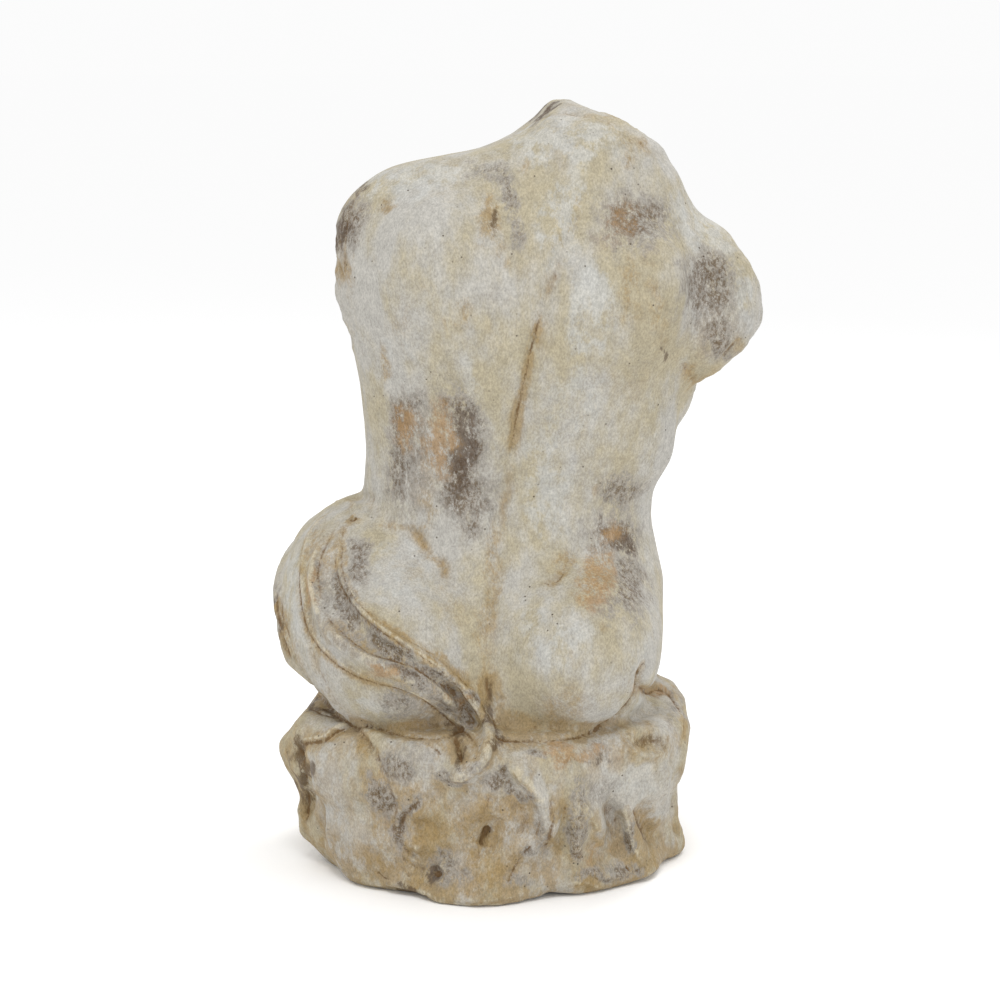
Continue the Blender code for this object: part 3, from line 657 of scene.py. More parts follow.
BODY_DABS = (
    # Upper left of the back
    Dab(Stain.GREY, (478, 168), (26, 9), 0.5, 8),
    Dab(Stain.GREY, (499, 176), (18, 12), 0.7, 20),
    Dab(Stain.GREY, (509, 198), (11, 26), 0.75, -14),
    Dab(Stain.GREY, (517, 228), (9, 24), 0.6, -10),
    Dab(Stain.OCHRE, (490, 214), (8, 22), 1.0, -8),
    Dab(Stain.OCHRE, (481, 228), (6, 22), 0.6),
    Dab(Stain.OCHRE, (502, 250), (12, 10), 0.5),
    Dab(Stain.UMBER, (494, 222), (2.5, 12), 0.7),
    Dab(Stain.OCHRE, (529, 165), (8, 9), 0.7),
    Dab(Stain.OCHRE, (627, 156), (9, 9), 0.8),
    Dab(Stain.OCHRE, (610, 120), (18, 8), 0.6, 20),
    Dab(Stain.OCHRE, (624, 135), (8, 14), 0.6, -30),
    Dab(Stain.OCHRE, (648, 150), (14, 7), 0.5, 50),
    Dab(Stain.GREY, (634, 222), (42, 36), 0.66, 10),
    Dab(Stain.GREY, (638, 220), (30, 26), 0.85, 10),
    Dab(Stain.UMBER, (630, 222), (24, 22), 0.4, 20),
    Dab(Stain.COPPER, (624, 224), (26, 26), 0.5, 10),
    Dab(Stain.OCHRE, (602, 237), (7, 14), 0.6),
    Dab(Stain.OCHRE, (631, 285), (7, 26), 0.75, 4),
    Dab(Stain.OCHRE, (652, 256), (10, 14), 0.5, -20),
    Dab(Stain.OCHRE, (632, 312), (24, 20), 0.45),
    Dab(Stain.OCHRE, (656, 300), (6, 34), 0.7),
    Dab(Stain.OCHRE, (545, 288), (6, 15), 0.5, 8),
    Dab(Stain.OCHRE, (553, 237), (6, 22), 0.4),
    Dab(Stain.OCHRE, (579, 207), (3, 8), 0.8, 20),
    Dab(Stain.OCHRE, (573, 231), (3, 7), 0.9, 20),
    Dab(Stain.OCHRE, (422, 287), (8, 7), 0.6),
    Dab(Stain.OCHRE, (466, 311), (10, 11), 0.8),
    Dab(Stain.OCHRE, (445, 316), (4, 3), 0.8),
    Dab(Stain.OCHRE, (453, 325), (4, 4), 0.8),
    Dab(Stain.OCHRE, (444, 334), (5, 4), 0.9),
    Dab(Stain.OCHRE, (384, 207), (10, 5), 0.9, -20),
    Dab(Stain.OCHRE, (384, 370), (5, 16), 0.8, 6),
    Dab(Stain.OCHRE, (400, 330), (14, 30), 0.35),
    Dab(Stain.GREY, (500, 292), (16, 16), 0.32),
    Dab(Stain.GREY, (348, 226), (14, 30), 1.0, 16),
    Dab(Stain.UMBER, (340, 234), (7, 24), 0.6, 16),
    Dab(Stain.UMBER, (360, 190), (12, 5), 0.6, -50),
    Dab(Stain.OCHRE, (342, 262), (9, 24), 0.8),
    Dab(Stain.OCHRE, (352, 205), (12, 14), 0.6),
    Dab(Stain.GREY, (541, 110), (20, 6), 1.0, -32),
    Dab(Stain.UMBER, (545, 107), (18, 4), 0.8, -32),
    # The broken right arm
    Dab(Stain.GREY, (712, 302), (34, 52), 0.55, -8),
    Dab(Stain.GREY, (708, 286), (28, 34), 0.95, -8),
    Dab(Stain.GREY, (720, 338), (14, 26), 0.85, -10),
    Dab(Stain.UMBER, (704, 280), (12, 14), 0.3),
    Dab(Stain.OCHRE, (714, 334), (26, 22), 0.8),
    Dab(Stain.OCHRE, (735, 350), (14, 8), 0.7, -35),
    Dab(Stain.PALE, (746, 300), (8, 34), 0.8, -6),
    Dab(Stain.UMBER, (664, 353), (2.4, 3), 1.0),
    # The large worn patch at the left of the waist
    Dab(Stain.GREY, (408, 455), (24, 66), 0.62, 4),
    Dab(Stain.GREY, (463, 460), (30, 80), 0.62, -6),
    Dab(Stain.GREY, (410, 404), (20, 14), 0.8, -10),
    Dab(Stain.GREY, (395, 440), (7, 40), 1.0, 4),
    Dab(Stain.GREY, (404, 472), (12, 34), 0.85),
    Dab(Stain.UMBER, (402, 424), (9, 14), 0.55),
    Dab(Stain.COPPER, (406, 432), (14, 26), 0.9),
    Dab(Stain.UMBER, (417, 428), (4, 18), 0.4),
    Dab(Stain.GREY, (456, 408), (20, 16), 0.8, -20),
    Dab(Stain.COPPER, (441, 442), (15, 36), 1.0, 6),
    Dab(Stain.UMBER, (464, 450), (13, 36), 1.0, 4),
    Dab(Stain.GREY, (478, 446), (12, 34), 0.85),
    Dab(Stain.GREY, (464, 486), (26, 34), 1.0, -8),
    Dab(Stain.GREY, (474, 524), (12, 18), 0.8),
    Dab(Stain.OCHRE, (425, 480), (8, 60), 0.8),
    Dab(Stain.OCHRE, (430, 412), (5, 24), 0.5),
    # Hips and the lower back
    Dab(Stain.OCHRE, (397, 528), (22, 6), 0.7),
    Dab(Stain.OCHRE, (424, 543), (6, 16), 0.9, -25),
    Dab(Stain.OCHRE, (437, 562), (12, 6), 0.7, 30),
    Dab(Stain.OCHRE, (440, 582), (6, 14), 0.4),
    Dab(Stain.OCHRE, (502, 500), (8, 30), 0.5, 6),
    Dab(Stain.OCHRE, (494, 555), (11, 40), 0.65, 4),
    Dab(Stain.OCHRE, (487, 620), (10, 46), 0.65, 2),
    Dab(Stain.OCHRE, (484, 680), (8, 36), 0.6),
    Dab(Stain.OCHRE, (455, 610), (20, 16), 0.35),
    Dab(Stain.GREY, (622, 490), (19, 20), 0.8),
    Dab(Stain.OCHRE, (600, 492), (5, 14), 0.7),
    Dab(Stain.GREY, (616, 535), (28, 22), 0.85),
    Dab(Stain.COPPER, (612, 532), (14, 12), 1.0),
    Dab(Stain.UMBER, (622, 546), (16, 8), 0.7),
    Dab(Stain.UMBER, (601, 526), (5, 8), 0.6),
    Dab(Stain.COPPER, (596, 580), (18, 32), 0.85),
    Dab(Stain.OCHRE, (594, 584), (18, 28), 0.6),
    Dab(Stain.GREY, (630, 588), (18, 32), 0.85, -8),
    Dab(Stain.GREY, (608, 606), (18, 18), 0.55),
    Dab(Stain.OCHRE, (566, 562), (6, 12), 0.8, 20),
    Dab(Stain.OCHRE, (553, 580), (14, 4), 0.5, -14),
    Dab(Stain.OCHRE, (564, 707), (20, 24), 0.6, 15),
    Dab(Stain.OCHRE, (603, 628), (5, 9), 0.7),
    Dab(Stain.OCHRE, (573, 660), (4, 5), 0.6),
    Dab(Stain.UMBER, (492, 712), (6, 26), 0.7, -10),
    Dab(Stain.UMBER, (496, 738), (8, 8), 0.9),
    Dab(Stain.OCHRE, (548, 728), (50, 10), 0.4),
    Dab(Stain.PALE, (548, 480), (30, 85), 0.6, 2),
    Dab(Stain.PALE, (400, 570), (34, 34), 0.6),
    Dab(Stain.PALE, (580, 400), (26, 50), 0.5),
    Dab(Stain.PALE, (395, 350), (20, 44), 0.4),
    Dab(Stain.PALE, (560, 142), (60, 26), 0.8, -10),
    Dab(Stain.PALE, (555, 640), (46, 40), 0.6),
    Dab(Stain.PALE, (590, 310), (26, 60), 0.7, 6),
    Dab(Stain.PALE, (562, 225), (24, 60), 0.75, 14),
    Dab(Stain.PALE, (700, 222), (26, 44), 0.7, -40),
    Dab(Stain.PALE, (410, 180), (60, 20), 0.7, -8),
    Dab(Stain.PALE, (470, 380), (22, 30), 0.4),
    Dab(Stain.PALE, (640, 660), (10, 40), 0.5, 8),
    Dab(Stain.PALE, (655, 430), (10, 60), 0.4),
)

CLOTH_DABS = (
    Dab(Stain.GREY, (322, 592), (13, 46), 0.5, -6),
    Dab(Stain.GREY, (350, 640), (30, 13), 0.55, 36),
    Dab(Stain.GREY, (402, 672), (46, 14), 0.6, 24),
    Dab(Stain.GREY, (452, 704), (34, 13), 0.65, 46),
    Dab(Stain.OCHRE, (330, 560), (7, 36), 0.7, 8),
    Dab(Stain.OCHRE, (310, 556), (5, 34), 0.9, 12),
    Dab(Stain.OCHRE, (334, 632), (20, 7), 0.9, 48),
    Dab(Stain.OCHRE, (362, 654), (22, 5), 0.8, 24),
    Dab(Stain.OCHRE, (350, 592), (6, 32), 1.0, -20),
    Dab(Stain.OCHRE, (390, 630), (38, 6), 1.0, 33),
    Dab(Stain.OCHRE, (446, 666), (34, 6), 1.0, 38),
    Dab(Stain.OCHRE, (480, 702), (5, 24), 0.8, -28),
    Dab(Stain.UMBER, (452, 692), (14, 3), 0.3, 40),
    Dab(Stain.OCHRE, (478, 752), (10, 22), 0.7, 20),
    Dab(Stain.OCHRE, (400, 728), (50, 7), 0.8, 8),
    Dab(Stain.OCHRE, (318, 700), (16, 9), 0.8, 30),
    Dab(Stain.GREY, (360, 561), (12, 20), 1.0),
    Dab(Stain.OCHRE, (341, 555), (3.5, 30), 0.8),
    Dab(Stain.GREY, (343, 595), (10, 24), 1.0, -14),
    Dab(Stain.GREY, (352, 617), (14, 10), 1.0, 30),
    Dab(Stain.GREY, (390, 647), (30, 9), 1.0, 32),
    Dab(Stain.GREY, (430, 672), (28, 8), 0.9, 38),
    Dab(Stain.GREY, (464, 704), (22, 8), 0.9, 55),
    Dab(Stain.COPPER, (312, 588), (6, 16), 1.0),
    Dab(Stain.COPPER, (330, 565), (4, 16), 0.3),
    Dab(Stain.OCHRE, (335, 625), (14, 9), 0.8, 40),
    Dab(Stain.COPPER, (384, 670), (16, 7), 1.0, 18),
    Dab(Stain.GREY, (412, 680), (24, 9), 1.0, 28),
    Dab(Stain.UMBER, (404, 673), (22, 6), 0.5, 25),
    Dab(Stain.GREY, (445, 706), (20, 8), 0.9, 42),
    Dab(Stain.COPPER, (456, 700), (10, 5), 0.8, 50),
    Dab(Stain.GREY, (398, 702), (24, 13), 0.75, 10),
    Dab(Stain.OCHRE, (430, 712), (22, 10), 0.5, 35),
    Dab(Stain.OCHRE, (314, 545), (9, 26), 0.55, 20),
    Dab(Stain.OCHRE, (283, 625), (9, 38), 0.8, -10),
    Dab(Stain.UMBER, (276, 622), (4, 34), 0.5, -6),
    Dab(Stain.GREY, (274, 590), (4, 20), 0.6),
    Dab(Stain.PALE, (296, 600), (7, 60), 0.7, -8),
    Dab(Stain.PALE, (366, 706), (44, 14), 0.6, 24),
    Dab(Stain.UMBER, (456, 732), (10, 6), 1.0),
    Dab(Stain.UMBER, (459, 754), (4, 14), 0.7, -14),
    Dab(Stain.OCHRE, (445, 742), (20, 14), 0.5),
    Dab(Stain.GREY, (470, 772), (18, 6), 0.7, -25),
    Dab(Stain.GREY, (445, 774), (14, 6), 0.7, 20),
    Dab(Stain.OCHRE, (350, 508), (8, 8), 0.6),
    Dab(Stain.OCHRE, (375, 684), (26, 6), 0.4, 20),
    Dab(Stain.OCHRE, (476, 690), (10, 22), 0.5, -35),
)

ROCK_DABS = (
    Dab(Stain.UMBER, (302, 768), (7, 34), 1.0, -6),
    Dab(Stain.OCHRE, (298, 750), (10, 26), 0.7),
    Dab(Stain.UMBER, (312, 706), (6, 5), 1.0, 40),
    Dab(Stain.UMBER, (325, 713), (12, 5), 0.7, 10),
    Dab(Stain.OCHRE, (325, 737), (24, 6), 0.8, -20),
    Dab(Stain.OCHRE, (362, 747), (12, 12), 0.8, 40),
    Dab(Stain.OCHRE, (308, 810), (9, 26), 0.6, -20),
    Dab(Stain.OCHRE, (328, 842), (9, 24), 0.6, -28),
    Dab(Stain.PALE, (330, 722), (22, 6), 0.7, -6),
    Dab(Stain.PALE, (336, 790), (22, 36), 0.35),
    Dab(Stain.PALE, (350, 835), (26, 26), 0.3),
    Dab(Stain.GREY, (398, 766), (18, 16), 0.8, 30),
    Dab(Stain.GREY, (378, 797), (14, 24), 0.9, -25),
    Dab(Stain.GREY, (412, 806), (12, 5), 1.0, -38),
    Dab(Stain.GREY, (402, 828), (7, 24), 1.0, 4),
    Dab(Stain.GREY, (442, 857), (9, 18), 0.7, -18),
    Dab(Stain.OCHRE, (418, 834), (15, 22), 0.85),
    Dab(Stain.OCHRE, (374, 828), (5, 5), 0.8),
    Dab(Stain.OCHRE, (452, 790), (20, 22), 0.45),
    Dab(Stain.UMBER, (433, 874), (9, 7), 0.8),
    Dab(Stain.OCHRE, (425, 878), (22, 10), 0.8, 10),
    Dab(Stain.UMBER, (410, 887), (18, 5), 0.7, 10),
    Dab(Stain.OCHRE, (380, 876), (14, 8), 0.6, 20),
    Dab(Stain.GREY, (496, 782), (11, 8), 1.0, -8),
    Dab(Stain.GREY, (512, 790), (24, 7), 0.9, 24),
    Dab(Stain.GREY, (542, 757), (11, 6), 0.9),
    Dab(Stain.GREY, (538, 830), (6, 20), 0.6),
    Dab(Stain.GREY, (528, 852), (8, 6), 0.8, -40),
    Dab(Stain.COPPER, (566, 754), (18, 9), 1.0),
    Dab(Stain.COPPER, (600, 753), (22, 6), 0.6),
    Dab(Stain.UMBER, (585, 760), (30, 3), 0.5),
    Dab(Stain.GREY, (600, 752), (18, 8), 0.6),
    Dab(Stain.GREY, (577, 820), (12, 42), 0.8),
    Dab(Stain.GREY, (577, 850), (10, 12), 1.0),
    Dab(Stain.GREY, (598, 790), (22, 16), 0.5),
    Dab(Stain.COPPER, (590, 855), (20, 16), 0.5),
    Dab(Stain.GREY, (630, 836), (5, 17), 1.0, -4),
    Dab(Stain.GREY, (622, 870), (18, 8), 0.8, 15),
    Dab(Stain.GREY, (595, 876), (22, 6), 0.8, 10),
    Dab(Stain.UMBER, (648, 740), (20, 7), 0.4, 4),
    Dab(Stain.OCHRE, (640, 742), (32, 12), 0.7, 4),
    Dab(Stain.OCHRE, (640, 820), (10, 20), 0.9, -24),
    Dab(Stain.OCHRE, (652, 858), (10, 12), 0.8),
    Dab(Stain.OCHRE, (508, 822), (24, 32), 0.7, 12),
    Dab(Stain.OCHRE, (552, 826), (7, 32), 0.75, 6),
    Dab(Stain.OCHRE, (590, 778), (20, 10), 0.4),
    Dab(Stain.OCHRE, (606, 830), (14, 30), 0.6),
    Dab(Stain.OCHRE, (583, 886), (12, 7), 0.8),
    Dab(Stain.OCHRE, (470, 880), (22, 14), 0.6),
    Dab(Stain.OCHRE, (620, 884), (40, 6), 0.6, -8),
    Dab(Stain.COPPER, (655, 692), (24, 6), 0.7, 16),
    Dab(Stain.UMBER, (655, 695), (22, 3), 0.5, 16),
    Dab(Stain.GREY, (676, 712), (8, 26), 0.55),
    Dab(Stain.PALE, (645, 712), (36, 18), 0.8),
    # Pale scrub on the lobe's ridge, partly a painted highlight
    Dab(Stain.PALE, (546, 806), (11, 32), 1.0, -14),
    Dab(Stain.OCHRE, (430, 842), (64, 48), 0.85),
    Dab(Stain.GREY, (448, 866), (22, 22), 0.7, -20),
    Dab(Stain.GREY, (520, 880), (14, 10), 0.6, -20),
    Dab(Stain.OCHRE, (380, 862), (44, 16), 0.7, 20),
    Dab(Stain.OCHRE, (486, 812), (12, 40), 0.7, 14),
    Dab(Stain.OCHRE, (400, 780), (10, 30), 0.5, -24),
    Dab(Stain.PALE, (630, 790), (44, 24), 0.9),
    Dab(Stain.OCHRE, (580, 830), (30, 34), 0.4),
    Dab(Stain.OCHRE, (460, 886), (60, 16), 0.6),
    Dab(Stain.GREY, (414, 760), (26, 22), 0.4),
    Dab(Stain.PALE, (515, 762), (24, 6), 0.5, -14),
    Dab(Stain.OCHRE, (400, 806), (34, 44), 0.8),
    Dab(Stain.OCHRE, (480, 860), (50, 40), 0.8),
    Dab(Stain.PALE, (612, 812), (14, 30), 0.7),
    Dab(Stain.PALE, (665, 800), (10, 40), 0.5),
)

DABS = BODY_DABS + CLOTH_DABS + ROCK_DABS



@dataclass(frozen=True)
class HiddenDabs:
    """Dabs of one stain, strewn over the sides that the photograph hides."""

    stain: Stain
    count: int
    size: float  # metres
    strength: float


HIDDEN_DABS = (
    HiddenDabs(Stain.GREY, 26, 20 * MM, 0.9),
    HiddenDabs(Stain.OCHRE, 44, 18 * MM, 0.7),
    HiddenDabs(Stain.COPPER, 16, 11 * MM, 0.7),
    HiddenDabs(Stain.UMBER, 10, 9 * MM, 0.5),
    HiddenDabs(Stain.PALE, 26, 30 * MM, 0.6),
)


@dataclass(frozen=True)
class Form:
    """An egg or a tapered limb that the figure is made of, in millimetres, to tell her from the rock."""

    start: Place
    end: Place
    radii: Place

    def distance(self, points: np.ndarray) -> np.ndarray:
        """Measures how far outside it the points are.

        Args:
            points: Places in millimetres.

        Returns:
            Distances in millimetres, below nought inside.
        """
        start, along = np.array(self.start), np.array(self.end) - np.array(self.start)
        share = np.clip((points - start) @ along / max(along @ along, TINY), 0.0, 1.0)
        offset = points - start - share[:, None] * along
        radii = np.array(self.radii)
        near = np.linalg.norm(offset / radii, axis=1)
        slope = np.linalg.norm(offset / radii**2, axis=1)
        return near * (near - 1.0) / np.maximum(slope, TINY)


SEATED_FORMS = (
    Form((-40.5, 48.9, 166), (-40.5, 48.9, 166), (62, 68, 62)),  # right buttock
    Form((77.5, 44.9, 166), (77.5, 44.9, 166), (68, 68, 62)),  # left buttock
    Form((98.5, -5.1, 184), (98.5, -5.1, 184), (70, 88, 79)),  # covered hip
    Form((93.5, -5.1, 182), (117.5, -99.1, 188), (57, 57, 57)),  # left thigh
    Form((-42.5, 14.9, 162), (-60.5, -105.1, 172), (51, 51, 51)),  # right thigh
    Form((27.5, -61.1, 200), (27.5, -61.1, 200), (82, 44, 32)),  # lap
    Form((25.5, -77.1, 122), (25.5, -77.1, 122), (66, 38, 96)),  # cloth that hangs down
)


@dataclass(frozen=True)
class Break:
    """A face where a limb or the neck is broken away, in millimetres."""

    middle: Place
    facing: Place
    reach: float
    rough: float = 1.0
    rim: float = 0.8  # share of the reach where it begins to fade
    turned: tuple[float, float] = (0.3, 0.75)  # cosines from its facing at which it starts and is full

    def share(self, points: np.ndarray, normals: np.ndarray) -> np.ndarray:
        """Tells how much of the break each point has.

        Args:
            points: Places in millimetres.
            normals: Which way the skin faces there.

        Returns:
            Shares from nought to one.
        """
        facing = np.array(self.facing) / np.linalg.norm(self.facing)
        away = np.linalg.norm(points - np.array(self.middle), axis=1)
        near = smooth_step(away, self.reach, self.rim * self.reach)
        return self.rough * near * smooth_step(normals @ facing, *self.turned)


BREAKS = (
    Break((-56, 8, 524), (-0.25, 0.12, 0.96), 66, 0.45),
    Break((-171, 5, 401), (-0.93, -0.34, -0.06), 56, 0.6),
    Break((-150, 5, 358), (-0.7, -0.1, -0.71), 40, 0.6),
    Break((119, 5, 410), (0.98, -0.16, 0.08), 52, 0.6),
    Break((113, -119, 186), (0.22, -0.95, 0.2), 60),
    Break((-60, -113, 176), (-0.2, -0.93, 0.3), 54),
)


class Skin:
    """A fine mesh held as arrays, for carving."""

    SWELL = -1.04  # how hard a round of evening out is pushed back, so that the volume stays
    LIFT_ROUNDS = 3  # how far normals are evened out before they lift anything
    LEAST_NORMAL = 0.1

    def __init__(self, mesh: bpy.types.Mesh) -> None:
        """Reads the mesh.

        Args:
            mesh: The mesh to carve.
        """
        self.mesh = mesh
        self.points = self._read("co")
        self.normals = self._read("normal")
        ends = np.empty(len(mesh.edges) * 2, np.int32)
        mesh.edges.foreach_get("vertices", ends)
        first, second = ends.reshape(-1, 2).T
        self._from = np.concatenate([first, second])
        self._to = np.concatenate([second, first])
        self._count = np.maximum(np.bincount(self._to, minlength=len(self.points)), 1)

    def _read(self, name: str) -> np.ndarray:
        """Reads one vector of every vertex, by its name."""
        flat = np.empty(len(self.mesh.vertices) * 3, np.float32)
        self.mesh.vertices.foreach_get(name, flat)
        return flat.reshape(-1, 3).astype(float)

    def average(self, values: np.ndarray, rounds: int) -> np.ndarray:
        """Spreads values over the neighbours.

        Args:
            values: One value, or one row, for each vertex.
            rounds: How often to spread them.

        Returns:
            The values as evened out.
        """
        rows = values if values.ndim > 1 else values[:, None]
        size = len(self.points)
        for _ in range(rounds):
            sums = [np.bincount(self._to, weights=column[self._from], minlength=size) for column in rows.T]
            rows = 0.5 * rows + 0.5 * np.stack(sums, axis=1) / self._count[:, None]
        return rows if values.ndim > 1 else rows[:, 0]

    def relax(self, rounds: int) -> None:
        """Evens out facets and keeps the volume.

        Args:
            rounds: How often.
        """
        for _ in range(rounds):
            for push in (1.0, self.SWELL):
                self.points = self.points + push * (self.average(self.points, 1) - self.points)
        self.place()

    def lift(self, heights: np.ndarray) -> None:
        """Moves each vertex along its normal, evened out over its neighbours.

        Args:
            heights: How far, in metres.
        """
        ways = self.average(self.normals, self.LIFT_ROUNDS)
        ways /= np.maximum(np.linalg.norm(ways, axis=1, keepdims=True), self.LEAST_NORMAL)
        self.points = self.points + ways * heights[:, None]
        self.place()

    def place(self) -> None:
        """Writes the places to the mesh and reads the new normals."""
        self.mesh.vertices.foreach_set("co", self.points.astype(np.float32).ravel())
        self.mesh.update()
        self.normals = self._read("normal")

    def nearest(self, places: np.ndarray) -> list[int]:
        """Finds the vertex that is nearest to each place.

        Args:
            places: The places in metres.

        Returns:
            The vertices' indices.
        """
        known = KDTree(len(self.points))
        for row, point in enumerate(self.points.tolist()):
            known.insert(point, row)
        known.balance()
        return [known.find(place)[1] for place in places.tolist()]

    def tree(self) -> BVHTree:
        """Gives the mesh as something that rays can hit."""
        faces = [tuple(face.vertices) for face in self.mesh.polygons]
        return BVHTree.FromPolygons(self.points.tolist(), faces)


class Mark(Enum):
    """What a stroke leaves on the stone beside its shape."""

    CORE = "brown line"
    HALO = "wash beside the line"
    # Lighter ridges and ledge brows: wear, with a painted highlight
    WORN_AND_HIGHLIT = "worn ridge"


@dataclass
class LaidStroke:
    """A stroke whose line lies on the skin."""

    stroke: Stroke
    line: np.ndarray
    facing: np.ndarray


@dataclass
class Chisel:
    """Lays strokes on the skin and works out what they lift and stain, and where their ridges get a painted
    highlight.

    Distances across a line are in the stroke's widths, unless they say otherwise.
    """

    view: PhotoView
    step: float = 1.2 * MM  # between the points of a laid line
    chunk: int = 10  # pieces of a line that are looked at together
    reach: float = 3.0  # beyond which a stroke does nothing
    sharpness: float = 1.25  # power by which a sharp cut falls off
    line_spread: float = 0.62  # of the brown in a groove, or the wear and painted highlight on a ridge
    wash_spread: float = 2.2  # of the wash beside a line
    least_wash: float = 4.4  # millimetres that the wash covers at least
    ledge_reach: float = 5.0  # over which a ledge dies away on its high side
    ledge_rise: float = 0.9  # on either side of the line
    ledge_foot: float = -0.7  # where its dirt lies
    foot_spread: float = 0.45
    foot_darkening: float = 0.85  # of the common wash
    ledge_brow: float = 1.1  # where it is worn and has a painted highlight
    brow_spread: float = 0.6
    fade_from: float = -0.03  # where the fade begins, as a share of the line's length
    least_fade: float = 0.01
    edge_share: float = 0.42  # how long the mesh's edges may be on a line
    finest: float = 0.6 * MM  # the shortest that they ever have to be
    fine_reach: float = 1.1  # up to which they stay so short
    coarsening: float = 0.5  # how fast they may lengthen beyond it
    least_square: float = 1e-14
    laid: list[LaidStroke] = field(default_factory=list)
    marks: dict[Mark, np.ndarray] = field(default_factory=dict)

    def ray(self, stroke: Stroke, spot: Spot) -> tuple[Vector, Vector]:
        """Gives the line of sight that draws one spot.

        Args:
            stroke: The stroke it belongs to.
            spot: Where it is, in the stroke's own measure.

        Returns:
            Where the line starts, and its heading.
        """
        if stroke.side is Side.PHOTO:
            return self.view.ray(spot)
        heading = Vector(stroke.side.value)
        level = Vector((1, 0, 0)) if heading.x == 0 else Vector((0, 1, 0))
        return level * (spot[0] * MM) + Vector((0, 0, spot[1] * MM)) - heading, heading

    def lay(self, strokes: Sequence[Stroke], tree: BVHTree) -> None:
        """Drops the strokes' lines on the skin.

        Args:
            strokes: The strokes.
            tree: The skin, ready for rays.
        """
        for stroke in strokes:
            drawn = np.array(stroke.spots, float)
            along = np.concatenate([[0.0], np.cumsum(np.linalg.norm(np.diff(drawn, axis=0), axis=1))])
            grain = self.view.distance / self.view.focus if stroke.side is Side.PHOTO else MM
            count = max(int(along[-1] * grain / self.step), 2) + 1
            places = np.linspace(0.0, along[-1], count)
            flow = np.column_stack([curve(along, drawn[:, axis], places) for axis in range(2)])
            hits = [tree.ray_cast(*self.ray(stroke, spot)) for spot in flow.tolist()]
            line = np.array([tuple(hit[0]) for hit in hits if hit[0] is not None])
            facing = np.array([tuple(hit[1]) for hit in hits if hit[0] is not None])
            if len(line) > 1:
                self.laid.append(LaidStroke(stroke, line, facing))

    def fineness(self, places: np.ndarray, plain: np.ndarray) -> np.ndarray:
        """Says how long the mesh's edges may be, so that it can hold the strokes.

        Args:
            places: Where to say it.
            plain: How long they may be there without strokes.

        Returns:
            Lengths in metres.
        """
        spots = np.concatenate([laid.line for laid in self.laid])
        widths = np.concatenate([np.full(len(laid.line), laid.stroke.width * MM) for laid in self.laid])
        known = KDTree(len(spots))
        for row, spot in enumerate(spots.tolist()):
            known.insert(spot, row)
        known.balance()
        found = [known.find(place)[1:] for place in places.tolist()]
        nearest = np.array([row for row, _ in found])
        away = np.array([distance for _, distance in found])
        width = widths[nearest]
        fine = np.maximum(self.edge_share * width, self.finest)
        return np.minimum(plain, fine + self.coarsening * np.maximum(away - self.fine_reach * width, 0.0))

    def add(self, mark: Mark, rows: np.ndarray, shares: np.ndarray) -> None:
        """Leaves a mark on some vertices, where it is stronger than what is there.

        Args:
            mark: The mark.
            rows: The vertices.
            shares: How strong it is on each.
        """
        self.marks[mark][rows] = np.maximum(self.marks[mark][rows], shares)

    def cut(self, points: np.ndarray) -> np.ndarray:
        """Cuts all laid strokes, and notes their marks.

        Args:
            points: The skin's vertices.

        Returns:
            How far each vertex is lifted, in metres.
        """
        lift = np.zeros(len(points))
        self.marks = {mark: np.zeros(len(points)) for mark in Mark}
        for laid in self.laid:
            stroke = laid.stroke
            rows, offset, place, side = self.nearest(points, laid)
            to_end = np.minimum(place, 1 - place)
            fade = smooth_step(to_end, self.fade_from, max(stroke.fade, self.least_fade))
            signed = side * offset * (-1.0 if stroke.profile is Profile.HIGH_RIGHT else 1.0)
            lift[rows] += stroke.height * MM * self.shape(stroke.profile, offset, signed) * fade
            stain = stroke.stain * fade
            wash = max(self.wash_spread, self.least_wash / stroke.width)
            if stroke.profile in (Profile.HIGH_LEFT, Profile.HIGH_RIGHT):
                core = bell(signed, self.ledge_foot, self.foot_spread)
                halo = bell(signed, self.ledge_foot, self.foot_darkening * wash)
                self.add(Mark.WORN_AND_HIGHLIT, rows, stain * bell(signed, self.ledge_brow, self.brow_spread))
            else:
                core = bell(offset, 0.0, self.line_spread)
                halo = bell(offset, 0.0, wash)
            # A round ridge is lighter: wear, with a painted highlight
            if stroke.height > 0 and stroke.profile is Profile.ROUND:
                self.add(Mark.WORN_AND_HIGHLIT, rows, stain * core)
            else:
                self.add(Mark.CORE, rows, stain * core)
                self.add(Mark.HALO, rows, stain * halo)
        return lift

    def shape(self, profile: Profile, offset: np.ndarray, signed: np.ndarray) -> np.ndarray:
        """Gives the cut across a stroke.

        Args:
            profile: The kind of cut.
            offset: Distances from the line, in widths.
            signed: The same, below nought on a ledge's low side.

        Returns:
            Shares of the stroke's height.
        """
        if profile is Profile.ROUND:
            return bell(offset, 0.0, 1.0)
        if profile is Profile.SHARP:
            return np.exp(-(offset**self.sharpness))
        tail = bell(np.maximum(signed, 0.0), 0.0, self.ledge_reach / 2)
        return smooth_step(signed, -self.ledge_rise, self.ledge_rise) * tail

